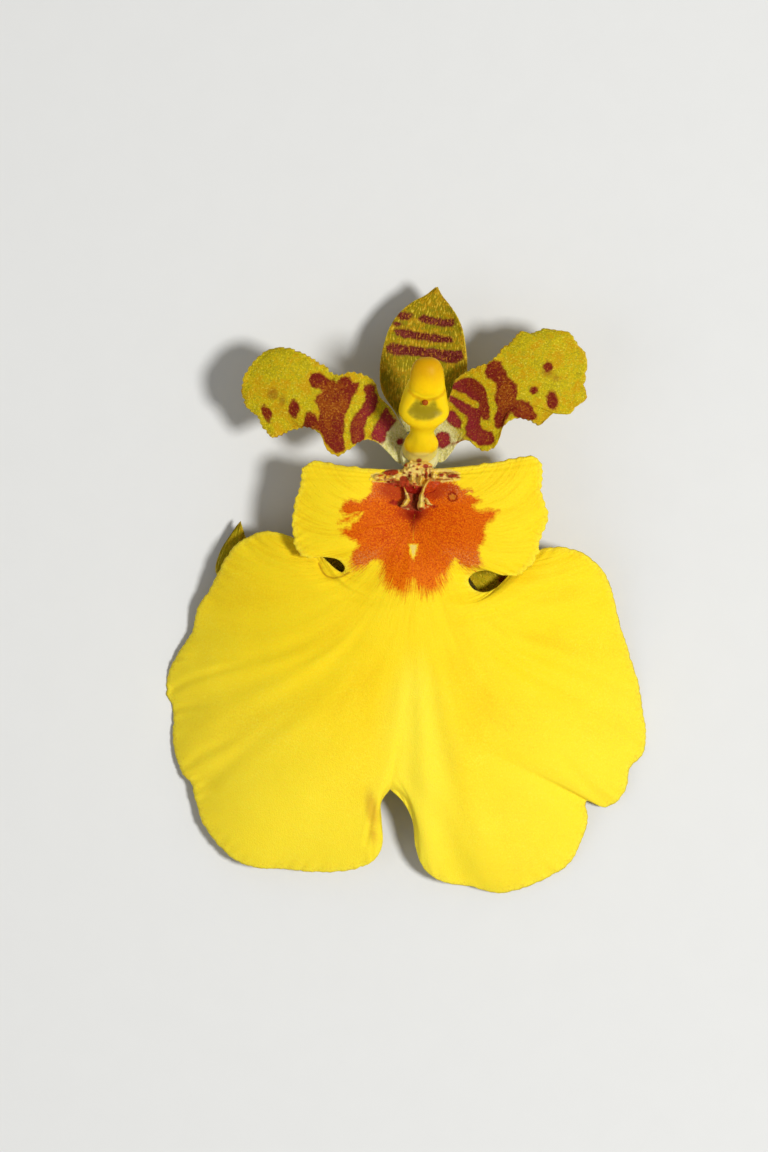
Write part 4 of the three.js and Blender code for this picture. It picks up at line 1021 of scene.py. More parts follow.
# Each blade's sheet and height, and the marks drawn on it: dark outlines and spots, faint spots, spots where
# the marks are thin, bands left bare, and spots of painted light, where a sepal is painted lighter as if lit.
MARKINGS = {
    "petal_left": {
        "sheet": LEFT_PETAL_SHEET,
        "height": 5.4,
        "outlines": [
            [(630, 420), (650, 370), (710, 355), (770, 400), (830, 425), (860, 450), (880, 420), (920, 395),
             (975, 400), (1000, 450), (1052, 448), (1050, 490), (1000, 560), (980, 620), (955, 680),
             (925, 740), (930, 800), (922, 880), (925, 960), (935, 1010), (900, 1040), (850, 1035),
             (800, 1000), (765, 950), (740, 890), (700, 852), (640, 832), (570, 822), (590, 770),
             (604, 700), (640, 688), (680, 720), (700, 765), (722, 710), (700, 630), (670, 600), (690, 560),
             (740, 530), (712, 495), (660, 490)],
            [(1100, 470), (1150, 455), (1182, 470), (1184, 520), (1204, 550), (1216, 610), (1192, 670),
             (1150, 720), (1112, 760), (1100, 830), (1096, 920), (1060, 960), (1000, 966), (975, 930),
             (975, 830), (990, 760), (1030, 700), (1070, 655), (1100, 600), (1110, 550), (1086, 510)],
            [(1280, 650), (1312, 700), (1350, 745), (1368, 770), (1332, 812), (1292, 860), (1282, 930),
             (1250, 966), (1200, 946), (1155, 922), (1156, 870), (1190, 800), (1220, 740), (1250, 690)],
        ],
        "spots": [(500, 668, 48, 74, 0), (268, 710, 42, 72, 20), (1402, 940, 30, 32)],
        "faint": [(325, 545, 46, 50), (405, 600, 28, 40)],
        "thin": [(790, 620, 190, 200)],
    },
    "petal_right": {
        "sheet": RIGHT_PETAL_SHEET,
        "height": 5.4,
        "outlines": [
            [(436, 490), (470, 430), (530, 395), (596, 405), (624, 470), (656, 540), (706, 600), (752, 640),
             (756, 710), (750, 782), (810, 786), (868, 805), (905, 860), (945, 920), (950, 975), (890, 985),
             (800, 975), (745, 955), (715, 925), (695, 900), (672, 935), (655, 985), (620, 1040), (575, 1062),
             (535, 1035), (525, 975), (545, 915), (560, 860), (540, 810), (535, 740), (550, 680), (545, 630),
             (510, 585), (460, 570), (436, 530)],
            [(108, 642), (180, 590), (270, 558), (350, 580), (420, 640), (452, 700), (472, 800), (492, 900),
             (472, 985), (430, 990), (402, 940), (396, 1010), (402, 1060), (430, 1080), (500, 1090),
             (540, 1150), (530, 1200), (470, 1230), (380, 1226), (330, 1190), (250, 1130), (250, 1050),
             (270, 980), (240, 930), (170, 860), (100, 800), (88, 735), (150, 750), (130, 690)],
            [(88, 880), (130, 880), (180, 930), (216, 1010), (200, 1060), (140, 1050), (80, 1000), (58, 950)],
        ],
        "spots": [
            (28, 1170, 76, 82), (182, 1196, 40, 14, 15), (1055, 462, 50, 54), (918, 692, 42, 44),
            (1100, 792, 56, 88, 8),
        ],
        "faint": [(1050, 520, 64, 36), (1140, 572, 40, 26)],
        "thin": [(640, 740, 130, 170), (800, 860, 90, 90)],
        "bare": [[
            (80, 676), (150, 680), (250, 730), (340, 788), (384, 830), (370, 862), (320, 850), (230, 802),
            (150, 752), (90, 712),
        ]],
    },
    "dorsal_sepal": {
        "sheet": SEPAL_SHEET,
        "height": 3.2,
        "outlines": [
            [(785, 165), (810, 150), (870, 163), (940, 170), (946, 190), (920, 200), (860, 196), (800, 180)],
            [(685, 218), (720, 208), (780, 224), (850, 230), (930, 248), (938, 264), (890, 272), (820, 260),
             (750, 252), (695, 238)],
            [(650, 288), (670, 274), (760, 284), (850, 294), (930, 304), (972, 300), (982, 338), (950, 358),
             (890, 352), (850, 336), (760, 322), (690, 326), (655, 312)],
        ],
        "spots": [(730, 156, 30, 18), (700, 188, 20, 9)],
    },
    "lateral_sepal_left": {"sheet": LIP_SHEET, "height": 2.4, "painted_light": [(-291, 599, 130, 30, 58)]},
    "lateral_sepal_right": {
        "sheet": LIP_SHEET,
        "height": 2.4,
        "spots": [(1250, 782, 26, 22)],
        "painted_light": [(1140, 800, 110, 60)],
    },
}
CLAWS_MIDDLE = (0.85, 9.0)  # where the claws of all blades meet


def blade_leaf(blade, v, u):
    """Middle surface of a petal or sepal: v runs from base to tip and u from one edge to the other."""
    v, u = v[:, None], u[None, :]
    rails = through(blade["edges"], v)
    first, second = rails[..., 0:2], rails[..., 2:4]
    flat = first + (second - first) * u[..., None]
    if blade["end"]:
        corners = np.array([blade["edges"][-1][:2], *blade["end"], blade["edges"][-1][2:]])
        chord = corners[0] + (corners[-1] - corners[0]) * u[..., None]
        flat = flat + (v**4)[..., None] * (through(corners, u) - chord)
    side = (2 * u - 1) ** 2
    wave = WAVE * np.sin(math.pi * (5 * v + u)) * side * v
    cupped = blade["cup"] * side * np.sin(math.pi * np.minimum(1, 1.1 * v))
    return np.dstack([flat, through(blade["heights"], v)[..., 0] + cupped + wave])


def blade_leaves(name, settings, rows=150, steps=64):
    """The one leaf of a petal or sepal, with its toothed and ruffled rim and its markings."""
    blade, marks = BLADES[name], MARKINGS[name]
    v = 1 - (1 - np.linspace(0, 1, rows + 1)) ** 1.25
    even = np.linspace(0, 1, steps + 1)
    u = 0.65 * even + 0.35 * (1 - np.cos(math.pi * even)) / 2
    middle = blade_leaf(blade, v, u)
    across, along = lengths_along(middle, 1), lengths_along(middle, 0)
    sides = [across, across[:, -1:] - across, along[-1:] - along, along]
    inland = sum((side + 1e-9) ** -4.0 for side in sides) ** -0.25
    inland[:, [0, -1]] = 0
    inland[[0, -1]] = 0
    wide = across - across[:, -1:] / 2
    teeth = blade.get("teeth", 0.02)
    rims = ((sides[0], 1, -1, along), (sides[1], 1, 1, along + 7), (sides[2], 0, 1, across + 3))
    for side, axis, sign, edge_run in rims:
        swing = sign * scalloped(edge_run, 1.0, teeth, teeth * 0.35) * smooth(v[:, None], 0.2, 0.5)
        inner = np.minimum.reduce([gap for gap in sides if gap is not side])
        pushed_out(middle, axis, swing, fading(side, 0.3) * smooth(inner, 0, 0.3))
    ripple = np.sin(along * 5.1 + wide) * np.sin(along * 2.9 - wide * 2.1 + 1)
    ripple = ripple + 0.2 * np.sin(along * 11.7 + wide * 5)
    middle[..., 2] += settings.ruffle / MM * 1.4 * ripple * fading(inland, 0.6)

    def within(spots, outlines="none"):
        drawn = marks.get(outlines, ()), marks.get(spots, ())
        return depth_in_marks(middle, marks["sheet"], marks["height"], *drawn)

    from_claws = np.linalg.norm(middle[..., :2] - CLAWS_MIDDLE, axis=-1)
    fields = {
        "along": along,
        "across": wide,
        "mark": np.minimum(within("spots", "outlines"), -within("none", "bare")),
        "faint": within("faint"),
        "thin": smooth(within("thin"), -0.2, 0.6),
        "pale": 1 - smooth(from_claws, 2.3, 3.5),
        # painted light, as a share from 0 to 1
        "painted_light": 0.45 * smooth(within("painted_light"), -0.6, 0.6),
        "ribs": 0.03 * np.cos(wide * 2 * math.pi / 0.8) ** 2 * smooth(inland, 0.2, 1.0),
    }
    return [(middle, inland, fields)]


# ---------------------------------------------------------------- column, cap and pollen

# Middle (x, y, z), half width across and half depth front to back, from the foot to the tip.
COLUMN = [
    [0.88, 9.45, 5.3, 1.18, 1.0], [0.9, 9.46, 5.7, 1.08, 0.82], [0.93, 9.52, 6.05, 1.06, 0.68],
    [0.95, 9.7, 6.45, 1.14, 0.66], [0.97, 9.93, 6.85, 1.08, 0.64], [1.0, 10.34, 7.3, 0.84, 0.7],
    [1.02, 10.74, 7.65, 0.81, 0.78], [1.08, 11.15, 8.0, 1.04, 0.9], [1.1, 11.5, 8.28, 1.5, 1.05],
    [1.12, 11.85, 8.5, 1.66, 1.14], [1.15, 12.4, 8.83, 1.56, 1.22], [1.21, 13.0, 9.1, 1.42, 1.2],
    [1.27, 13.5, 9.3, 1.27, 1.08], [1.32, 14.2, 9.5, 1.0, 0.8], [1.36, 14.75, 9.63, 0.6, 0.48],
]
CAP = {"centre": (1.32, 14.0, 10.03), "radii": (1.04, 1.39, 0.86), "tip": 0.42}
# Marks on the column's sheet, with the line of painted shadow under the cap's edge, and how deep the stigma
# is pressed in.
STIGMA_HEIGHT = 9.5
STIGMA_HOLLOW = [(362, 712, 285, 190)]
STIGMA_GREEN = [
    (131, 742), (170, 690), (215, 630), (242, 590), (270, 576), (316, 625), (345, 650), (400, 640),
    (420, 620), (465, 590), (500, 628), (520, 690), (596, 758), (530, 812), (440, 848), (344, 862),
    (245, 846), (170, 798),
]
CAP_EDGE_SHADOW_LINE = [(168, 491), (224, 556), (316, 597), (391, 608), (502, 584), (576, 538), (604, 486)]
STIGMA_DEPTH = 0.45
FOOT_HEIGHT = 6.0
# Two pollen masses, their strap and the sticky pad.
POLLEN = [
    {"centre": (1.14, 13.85, 9.8), "radii": (0.25, 0.42, 0.24), "tip": 0.42, "shade": 0.9},
    {"centre": (1.62, 13.85, 9.8), "radii": (0.25, 0.42, 0.24), "tip": 0.42, "shade": 0.9},
    {"centre": (1.35, 13.25, 9.53), "radii": (0.2, 0.75, 0.13), "tip": 0.47, "shade": 0.9},
    {"centre": (1.19, 12.36, 9.93), "radii": (0.21, 0.2, 0.17), "tip": 0.42, "shade": 0.0},
]


def tube_frames(stations):
    """Middles along a path of stations, and the directions across it and to its front."""
    middles = stations[:, :3]
    along = np.gradient(middles, axis=0)
    along /= np.linalg.norm(along, axis=1)[:, None]
    across = np.array([1.0, 0, 0]) - along * along[:, :1]
    across /= np.linalg.norm(across, axis=1)[:, None]
    return middles, across, np.cross(along, across)


def column_mesh(rings=120, sides=84):
    """A tube along the column's stations with a round tip, a pressed stigma, a raised rim and a ridge."""
    stations = through(COLUMN, np.linspace(0, 1, rings))
    middles, across, front = tube_frames(stations)
    run = np.concatenate([[0], np.cumsum(np.linalg.norm(np.diff(middles, axis=0), axis=1))])
    taper = np.sqrt(1 - (1 - np.clip((run[-1] - run) / 0.5, 0, 1)) ** 2)[:, None]
    angle = 2 * math.pi * (np.arange(sides) + 0.5)[None, :] / sides
    width, depth = stations[:, 3:4] * taper, stations[:, 4:5] * taper
    places = (
        middles[:, None]
        + across[:, None] * (width * np.cos(angle))[..., None]
        + front[:, None] * (depth * np.sin(angle))[..., None]
    )
    facing = np.clip(-np.sin(angle), 0, 1) * np.ones_like(width)
    hollow = depth_in_marks(places, COLUMN_SHEET, STIGMA_HEIGHT, (), STIGMA_HOLLOW)
    bed = depth_in_marks(places, COLUMN_SHEET, STIGMA_HEIGHT, [STIGMA_GREEN])
    press = STIGMA_DEPTH * (0.6 * smooth(hollow, -0.1, 0.7) + 0.4 * smooth(bed, -0.1, 0.35))
    rim = 0.05 * fading(hollow + 0.15, 0.2)
    level = stations[:, 2:3]
    ridge = 0.1 * smooth(facing, 0.75, 1.0) * smooth(level, 5.9, 6.4) * smooth(level, 7.8, 7.2)
    places += front[:, None] * ((press - rim) * smooth(facing, 0.1, 0.5) - ridge)[..., None]
    green = depth_in_marks(places, COLUMN_SHEET, STIGMA_HEIGHT, [STIGMA_GREEN])
    green = np.where(facing > 0.2, green, -1)
    cap_edge_shadow, _ = along_line(places, on_flower(CAP_EDGE_SHADOW_LINE, COLUMN_SHEET, STIGMA_HEIGHT))
    y, z = places[..., 1], places[..., 2]
    flank = np.abs(np.cos(angle)) ** 2 * smooth(z, 7.7, 7.0)
    specks = depth_in_marks(places, CALLUS_SHEET, FOOT_HEIGHT, (), CALLUS_SPECKS)
    foot = np.maximum.reduce([np.minimum(6.45 - z, 9.3 - y), 5.95 - z, 9.13 - y])
    fields = {
        "height": np.append(z, middles[[0, -1], 2]),
        "stigma": np.append(green, [-1, -1]),
        "foot": np.append(foot, [1, -1]),
        "crimson": np.append(np.minimum(specks, foot + 0.1), [-1, -1]),
        "cap_edge_shadow": np.append(cap_edge_shadow, [FAR, FAR]),
        "flank": np.append(flank, [0, 0]),
    }
    count = rings * sides
    faces = [*grid_faces(rings, sides, wrap=True)]
    faces += [(count, (k + 1) % sides, k) for k in range(sides)]
    faces += [(count + 1, count - sides + k, count - sides + (k + 1) % sides) for k in range(sides)]
    points = np.vstack([places.reshape(-1, 3), middles[[0, -1]]])
    return mesh_of("fleshy_column", points, faces, fields)


def ellipsoid_points(shape, across, down, forming=None):
    """Places on the unit sphere, and on the tipped and turned ellipsoid that it becomes once it is formed."""
    polar = np.linspace(0, math.pi, down + 1)[:, None]
    round_ = 2 * math.pi * np.arange(across)[None, :] / across
    unit = np.stack(
        [np.sin(polar) * np.cos(round_), np.sin(polar) * np.sin(round_), np.cos(polar) + 0 * round_], -1
    )
    formed = forming(unit.copy()) if forming else unit
    turn = np.array(Euler((shape.get("tip", 0), 0, shape.get("turn", 0)), "ZXY").to_matrix())
    return unit, (formed * shape["radii"]) @ turn.T + shape["centre"]


def gathered(bumps, across, down):
    """Points and faces of several ellipsoids, as one mesh."""
    count = (down + 1) * across
    faces = [grid_faces(down + 1, across, number * count, wrap=True) for number in range(len(bumps))]
    return np.vstack([places.reshape(-1, 3) for places in bumps]), np.vstack(faces)


def cap_form(unit):
    """A blunt hood, widest over the stigma, with a shallow groove down its front."""
    x, y, z = unit[..., 0], unit[..., 1].copy(), unit[..., 2]
    round_ = np.sqrt(np.maximum(1 - y**2, 1e-6))
    blunt = np.maximum(1 - np.abs(y) ** 3, 1e-9) ** (1 / 3)
    width = (1.09 - 0.15 * y) * blunt / round_
    groove = 0.05 * fading(x, 0.25) * smooth(-y, 0.3, 0.95)
    unit[..., 0] = x * np.where(np.abs(y) > 0.9995, 1, width)
    unit[..., 2] = z * (blunt / round_) ** 0.5 * (1 - groove)
    return unit


def cap_mesh(across=72, down=48):
    unit, places = ellipsoid_points(CAP, across, down, cap_form)
    # painted shade: the cap darkens from its front towards its crown
    shade = (unit[..., 1] * 0.6 + 0.45).ravel()
    return mesh_of("golden_cap", *gathered([places], across, down), {"shade": shade})


def pollen_mesh(across=32, down=20):
    bumps = [ellipsoid_points(shape, across, down)[1] for shape in POLLEN]
    shade = np.repeat([shape["shade"] for shape in POLLEN], (down + 1) * across)
    return mesh_of("pollen_masses", *gathered(bumps, across, down), {"shade": shade})


# ---------------------------------------------------------------- ovary and stalk

# y, z and radius, from the stalk's cut end to the receptacle.
STALK = [
    [-7.0, 0.55, 0.55], [-1.0, 0.55, 0.55], [2.0, 0.68, 0.68], [4.5, 0.92, 0.86], [6.4, 1.15, 0.95],
    [7.8, 1.75, 0.95], [8.7, 2.7, 1.05], [9.0, 3.7, 1.2], [9.0, 4.4, 1.3], [9.0, 5.1, 1.14],
]
STALK_X = 0.85


class Rule:
    """A Geometry Nodes tree that takes a mesh and named sizes."""

    def __init__(self, name):
        self.tree = bpy.data.node_groups.new(name, "GeometryNodeTree")
        self.tree.is_modifier = True
        self.tree.interface.new_socket("Geometry", in_out="INPUT", socket_type="NodeSocketGeometry")
        self.tree.interface.new_socket("Geometry", in_out="OUTPUT", socket_type="NodeSocketGeometry")
        self.inputs = self.tree.nodes.new("NodeGroupInput")
        self.values = {}

    def size(self, name, value, kind="NodeSocketFloat"):
        socket = self.tree.interface.new_socket(name, in_out="INPUT", socket_type=kind)
        self.values[socket.identifier] = value
        return self.inputs.outputs[name]

    def node(self, kind, inputs, output=0, **settings):
        node = self.tree.nodes.new(kind)
        for key, value in settings.items():
            setattr(node, key, value)
        for key, value in inputs.items():
            if isinstance(value, bpy.types.NodeSocket):
                self.tree.links.new(value, node.inputs[key])
            else:
                node.inputs[key].default_value = value
        return node.outputs[output]

    def math(self, operation, *values):
        return self.node("ShaderNodeMath", dict(enumerate(values)), operation=operation)

    def run(self, obj, geometry, material):
        """Ends the tree in real geometry with its material, and turns the object into the result."""
        real = self.node("GeometryNodeRealizeInstances", {"Geometry": geometry})
        painted = self.node("GeometryNodeSetMaterial", {"Geometry": real, "Material": material})
        output = self.tree.nodes.new("NodeGroupOutput")
        self.tree.links.new(painted, output.inputs["Geometry"])
        modifier = obj.modifiers.new(self.tree.name, "NODES")
        modifier.node_group = self.tree
        for identifier, value in self.values.items():
            modifier[identifier] = value
        return evaluated(obj)


def ribbed_stalk(obj, settings, material):
    """Sweeps a round section along the path, with ribs where the ovary swells."""
    rule = Rule("Ribbed Stalk")
    ribs = rule.size("Ribs", settings.ribs, "NodeSocketInt")
    relief = rule.size("Rib Height", settings.rib_height / MM)
    sides = rule.size("Sides", 72, "NodeSocketInt")
    girth = rule.node("GeometryNodeInputNamedAttribute", {"Name": "girth"}, data_type="FLOAT")
    swell = rule.node("GeometryNodeInputNamedAttribute", {"Name": "swell"}, data_type="FLOAT")
    path = rule.node("GeometryNodeMeshToCurve", {"Mesh": rule.inputs.outputs["Geometry"]})
    circle = rule.node("GeometryNodeCurvePrimitiveCircle", {"Resolution": sides, "Radius": 1.0})
    factor = rule.node("GeometryNodeSplineParameter", {}, "Factor")
    angle = rule.math("MULTIPLY", rule.math("MULTIPLY", factor, 2 * math.pi), ribs)
    store = {"Geometry": circle, "Name": "rib_angle", "Value": angle}
    circle = rule.node("GeometryNodeStoreNamedAttribute", store, data_type="FLOAT", domain="POINT")
    swept = {"Curve": path, "Profile Curve": circle, "Scale": girth, "Fill Caps": True}
    tube = rule.node("GeometryNodeCurveToMesh", swept)
    wave = rule.node("GeometryNodeInputNamedAttribute", {"Name": "rib_angle"}, data_type="FLOAT")
    height = rule.math("MULTIPLY", rule.math("MULTIPLY", rule.math("COSINE", wave), relief), swell)
    normal = rule.node("GeometryNodeInputNormal", {})
    offset = rule.node("ShaderNodeVectorMath", {0: normal, "Scale": height}, operation="SCALE")
    raised = rule.node("GeometryNodeSetPosition", {"Geometry": tube, "Offset": offset})
    return rule.run(obj, raised, material)


def stalk_path(count=150):
    """The line of points that the stalk and ovary are swept along, with its girth."""
    y, z, radius = through(STALK, np.linspace(0, 1, count)).T
    run = np.concatenate([[0], np.cumsum(np.hypot(np.diff(y), np.diff(z)))])
    end_round = np.sqrt(1 - (1 - np.clip((run + 0.02) / 0.3, 0, 1)) ** 2)
    mesh = bpy.data.meshes.new("ovary_path")
    mesh.from_pydata([(STALK_X, *p) for p in zip(y, z)], [(i, i + 1) for i in range(count - 1)], [])
    swell = smooth(y, 2.5, 5.0) * smooth(z, 4.3, 3.2)
    write_fields(mesh, {"girth": radius * end_round, "swell": swell, "shade": smooth(z, 0, 5)})
    return mesh


def warted(obj, settings, material):
    """Fuses the callus's bumps and strews small warts over their upper sides."""
    rule = Rule("Callus Warts")
    radius = rule.size("Wart Radius", settings.wart_radius / MM)
    density = rule.size("Warts per Square", settings.wart_density)
    seed = rule.size("Seed", settings.seed, "NodeSocketInt")
    voxel = rule.size("Grain", settings.grain / MM)
    bumps = rule.inputs.outputs["Geometry"]
    normal_z = rule.node("ShaderNodeSeparateXYZ", {0: rule.node("GeometryNodeInputNormal", {})}, "Z")
    up = rule.node("FunctionNodeCompare", {0: normal_z, 1: 0.25}, operation="GREATER_THAN", data_type="FLOAT")
    spread = {"Mesh": bumps, "Selection": up, "Distance Min": WART_GAP, "Density Max": density, "Seed": seed}
    points = rule.node("GeometryNodeDistributePointsOnFaces", spread, distribute_method="POISSON")
    wart = rule.node("GeometryNodeMeshIcoSphere", {"Radius": radius, "Subdivisions": 2})
    sizes = {2: WART_SIZES[0], 3: WART_SIZES[1], "Seed": seed}
    scale = rule.node("FunctionNodeRandomValue", sizes, 1, data_type="FLOAT")
    warts = {"Points": points, "Instance": wart, "Scale": scale}
    strewn = rule.node("GeometryNodeInstanceOnPoints", warts)
    strewn = rule.node("GeometryNodeRealizeInstances", {"Geometry": strewn})
    joined = rule.tree.nodes.new("GeometryNodeJoinGeometry")
    for source in (strewn, bumps):
        rule.tree.links.new(source, joined.inputs[0])
    volume = {"Mesh": joined.outputs[0], "Voxel Size": voxel, "Density": 1.0, "Interior Band Width": 0.2}
    filled = rule.node("GeometryNodeMeshToVolume", volume, resolution_mode="VOXEL_SIZE")
    fused = {"Volume": filled, "Voxel Size": voxel, "Threshold": 0.1}
    skin = rule.node("GeometryNodeVolumeToMesh", fused, resolution_mode="VOXEL_SIZE")
    return rule.run(obj, skin, material)


# ---------------------------------------------------------------- what a user would change


def amount(name, text, default, **limits):
    return FloatProperty(name=name, description=text, default=default, min=0.0, **limits)


def length(name, text, default):
    return amount(name, text, default, subtype="DISTANCE", unit="LENGTH")


def colour(name, text, default):
    shown = {"size": 3, "min": 0, "max": 1, "subtype": "COLOR"}
    return FloatVectorProperty(name=name, description=text, default=default, **shown)


class OrchidBladeSettings(bpy.types.PropertyGroup):
    rim: length("Rim", "Thickness of a blade at its rim", 0.00016)
    feather: length("Feather", "Distance over which a blade thins towards its rim", 0.004)
    ruffle: length("Ruffle", "Height of the fine ruffles along a rim", 0.00005)
    folds: length("Folds", "Height of the lip's soft folds along its veins", 0.0001)


class OrchidCallusSettings(bpy.types.PropertyGroup):
    wart_radius: length("Wart Radius", "Radius of the largest small warts", 0.00012)
    wart_density: amount("Warts", "Most warts on a square millimetre", 6.0, max=40.0)
    grain: length("Grain", "Size of the steps in which bumps and warts are fused", 0.00004)
    seed: IntProperty(name="Seed", description="Seed of the warts' places", default=7, min=0)


class OrchidStalkSettings(bpy.types.PropertyGroup):
    ribs: IntProperty(name="Ribs", description="Ribs round the ovary", default=6, min=0, max=12)
    rib_height: length("Rib Height", "Height of the ovary's ribs", 0.00009)


class OrchidColours(bpy.types.PropertyGroup):
    lip_yellow: colour("Lip Yellow", "Main colour of the lip", (0.95, 0.69, 0.014))
    lip_gold: colour("Lip Gold", "Deeper streaks of the lip", (0.82, 0.52, 0.006))
    # lip_pale is also the colour of the painted sheen far out on the lip and of its painted glints
    lip_pale: colour("Lip Pale", "Pale grains and rims of the lip", (0.97, 0.80, 0.055))
    blotch_red: colour("Blotch Red", "Middle of the lip's blotch", (0.60, 0.064, 0.001))
    blotch_orange: colour("Blotch Orange", "Outer parts of the lip's blotch", (0.66, 0.10, 0.001))
    blotch_light: colour("Blotch Light", "Light grains in the lip's blotch", (0.79, 0.18, 0.001))
    blotch_dark: colour("Blotch Dark", "Dark grains in the lip's blotch", (0.42, 0.024, 0.001))
    blotch_crimson: colour("Blotch Crimson", "The blotch round the callus", (0.42, 0.045, 0.005))
    # painted reflection: the pink sheen tint at the blotch's corners
    blotch_sheen_pink: colour("Blotch Pink", "Corners of the lip's blotch", (0.60, 0.14, 0.02))
    # painted sheen: the colour of the pale glints at the blotch's corners
    blotch_sheen: colour("Blotch Sheen", "Palest grains at the corners of the blotch", (0.80, 0.36, 0.13))
    petal_yellow: colour("Petal Yellow", "Main colour of the petals", (0.62, 0.49, 0.007))
    petal_gold: colour("Petal Gold", "Rims of the petals", (0.56, 0.32, 0.004))
    # petal_pale is also the colour of the painted glints on petals and sepals
    petal_pale: colour("Petal Pale", "Pale grains and edges of petals and sepals", (0.80, 0.66, 0.06))
    petal_maroon: colour("Petal Maroon", "Bars and spots of the petals", (0.175, 0.012, 0.006))
    petal_rust: colour("Petal Rust", "Light grains in the petals' bars", (0.29, 0.062, 0.004))
    # painted sheen: the plum tint of the marks next to the claws
    petal_plum_sheen: colour("Petal Plum", "Bars next to the petals' claws", (0.35, 0.028, 0.045))
    petal_tan: colour("Petal Tan", "Palest grains in the bars", (0.52, 0.21, 0.02))
    sepal_olive: colour("Sepal Olive", "Main colour of the sepals", (0.31, 0.235, 0.003))
    sepal_gold: colour("Sepal Gold", "Rims of the sepals", (0.46, 0.25, 0.005))
    sepal_maroon: colour("Sepal Maroon", "Bars of the dorsal sepal", (0.11, 0.009, 0.007))
    sepal_plum: colour("Sepal Plum", "Light grains in the sepal's bars", (0.25, 0.05, 0.03))
    shade_green: colour("Shade Green", "Dark grains of petals and sepals", (0.24, 0.19, 0.004))
    claw_white: colour("Claw White", "Pale grains of the petals' bases", (0.76, 0.69, 0.33))
    claw_green: colour("Claw Green", "Greener grains of the petals' bases", (0.55, 0.52, 0.18))
    column_yellow: colour("Column Yellow", "Upper column", (0.90, 0.62, 0.006))
    column_gold: colour("Column Gold", "Knob and shaded side of the column", (0.86, 0.50, 0.004))
    foot_cream: colour("Foot Cream", "Foot of the column and tips of the teeth", (0.80, 0.64, 0.13))
    # painted shade: the darker crown of the cap, also the colour of the painted shadow under its edge
    cap_shade: colour("Cap Crown", "Crown of the anther cap", (0.66, 0.34, 0.002))
    cap_front: colour("Cap Front", "Front of the anther cap", (0.97, 0.62, 0.003))
    stigma_green: colour("Stigma Green", "Floor of the stigma", (0.34, 0.25, 0.008))
    stigma_yellow: colour("Stigma Yellow", "Lighter parts of the stigma", (0.48, 0.36, 0.012))
    callus_cream: colour("Callus Cream", "Pale tissue of the callus", (0.78, 0.58, 0.16))
    callus_gold: colour("Callus Gold", "Yellower tissue of the callus", (0.72, 0.40, 0.03))
    crimson: colour("Crimson", "Dark marks of the callus", (0.24, 0.005, 0.002))
    crimson_light: colour("Crimson Light", "Lighter grains of the crimson marks", (0.44, 0.03, 0.012))
    pollen_brown: colour("Pollen Brown", "Sticky pad of the pollinarium", (0.36, 0.08, 0.006))
    pollen_amber: colour("Pollen Amber", "Pollen masses", (0.62, 0.28, 0.02))
    stalk_green: colour("Stalk Green", "Stalk and ovary", (0.20, 0.30, 0.05))
    stalk_pale: colour("Stalk Pale", "Lighter streaks of the stalk", (0.36, 0.42, 0.12))


class OrchidStageSettings(bpy.types.PropertyGroup):
    floor: colour("Floor", "Colour of the floor", (0.74, 0.74, 0.72))
    key_power: amount("Key Light", "Power of the key light", 2.15, subtype="POWER")
    fill_power: amount("Fill Light", "Power of the opposite light", 0.4, subtype="POWER")
    sky: amount("Sky", "Strength of the even light from all round", 0.26)


# ---------------------------------------------------------------- operators


class OrchidOperator:
    bl_options = {"REGISTER", "UNDO"}


def add_blades(scene, material, slot, names):
    """Adds a petal or sepal for each of the solids that the names stand for."""
    for node, name in names.items():
        mesh = leaf_mesh(name, blade_leaves(node, scene.orchid_blades), scene.orchid_blades)
        finished(placed(name, mesh), material, slot, node)


class ORCHID_OT_lip(OrchidOperator, bpy.types.Operator):
    """Add the broad lobed lip with its blotch"""

    bl_idname = "orchid.add_lip"
    bl_label = "Add Lip"

    def execute(self, context):
        scene = context.scene
        mesh = leaf_mesh("broad_lip", lip_leaves(scene.orchid_blades), scene.orchid_blades)
        finished(placed("broad_lip", mesh), lip_material(scene.orchid_colours), "lip", "lip")
        return {"FINISHED"}


class ORCHID_OT_callus(OrchidOperator, bpy.types.Operator):
    """Add the warty callus at the base of the lip"""

    bl_idname = "orchid.add_callus"
    bl_label = "Add Callus"

    def execute(self, context):
        scene = context.scene
        lip = LipTop(scene.orchid_blades)
        obj = placed("warty_callus", callus_mesh(lip))
        material = callus_material(scene.orchid_colours)
        warted(obj, scene.orchid_callus, material)
        places = np.array([v.co for v in obj.data.vertices])
        write_fields(obj.data, callus_fields(lip, places))
        finished(obj, material, "callus", "callus")
        return {"FINISHED"}


class ORCHID_OT_petals(OrchidOperator, bpy.types.Operator):
    """Add the two waved and barred petals"""

    bl_idname = "orchid.add_petals"
    bl_label = "Add Petals"

    def execute(self, context):
        scene, colours = context.scene, context.scene.orchid_colours
        material = blade_material(
            "petal_tissue",
            colours.petal_yellow,
            colours.petal_gold,
            colours.petal_maroon,
            colours.petal_rust,
            colours,
            lines=0.0,
        )
        names = {"petal_left": "left_petal", "petal_right": "right_petal"}
        add_blades(scene, material, "petal", names)
        return {"FINISHED"}


class ORCHID_OT_sepals(OrchidOperator, bpy.types.Operator):
    """Add the hooded dorsal sepal and the two lateral sepals behind the lip"""

    bl_idname = "orchid.add_sepals"
    bl_label = "Add Sepals"

    def execute(self, context):
        scene, colours = context.scene, context.scene.orchid_colours
        material = blade_material(
            "sepal_tissue",
            colours.sepal_olive,
            colours.sepal_gold,
            colours.sepal_maroon,
            colours.sepal_plum,
            colours,
            lines=0.7,
        )
        names = {
            "dorsal_sepal": "hooded_sepal",
            "lateral_sepal_left": "left_sepal",
            "lateral_sepal_right": "right_sepal",
        }
        add_blades(scene, material, "sepal", names)
        return {"FINISHED"}


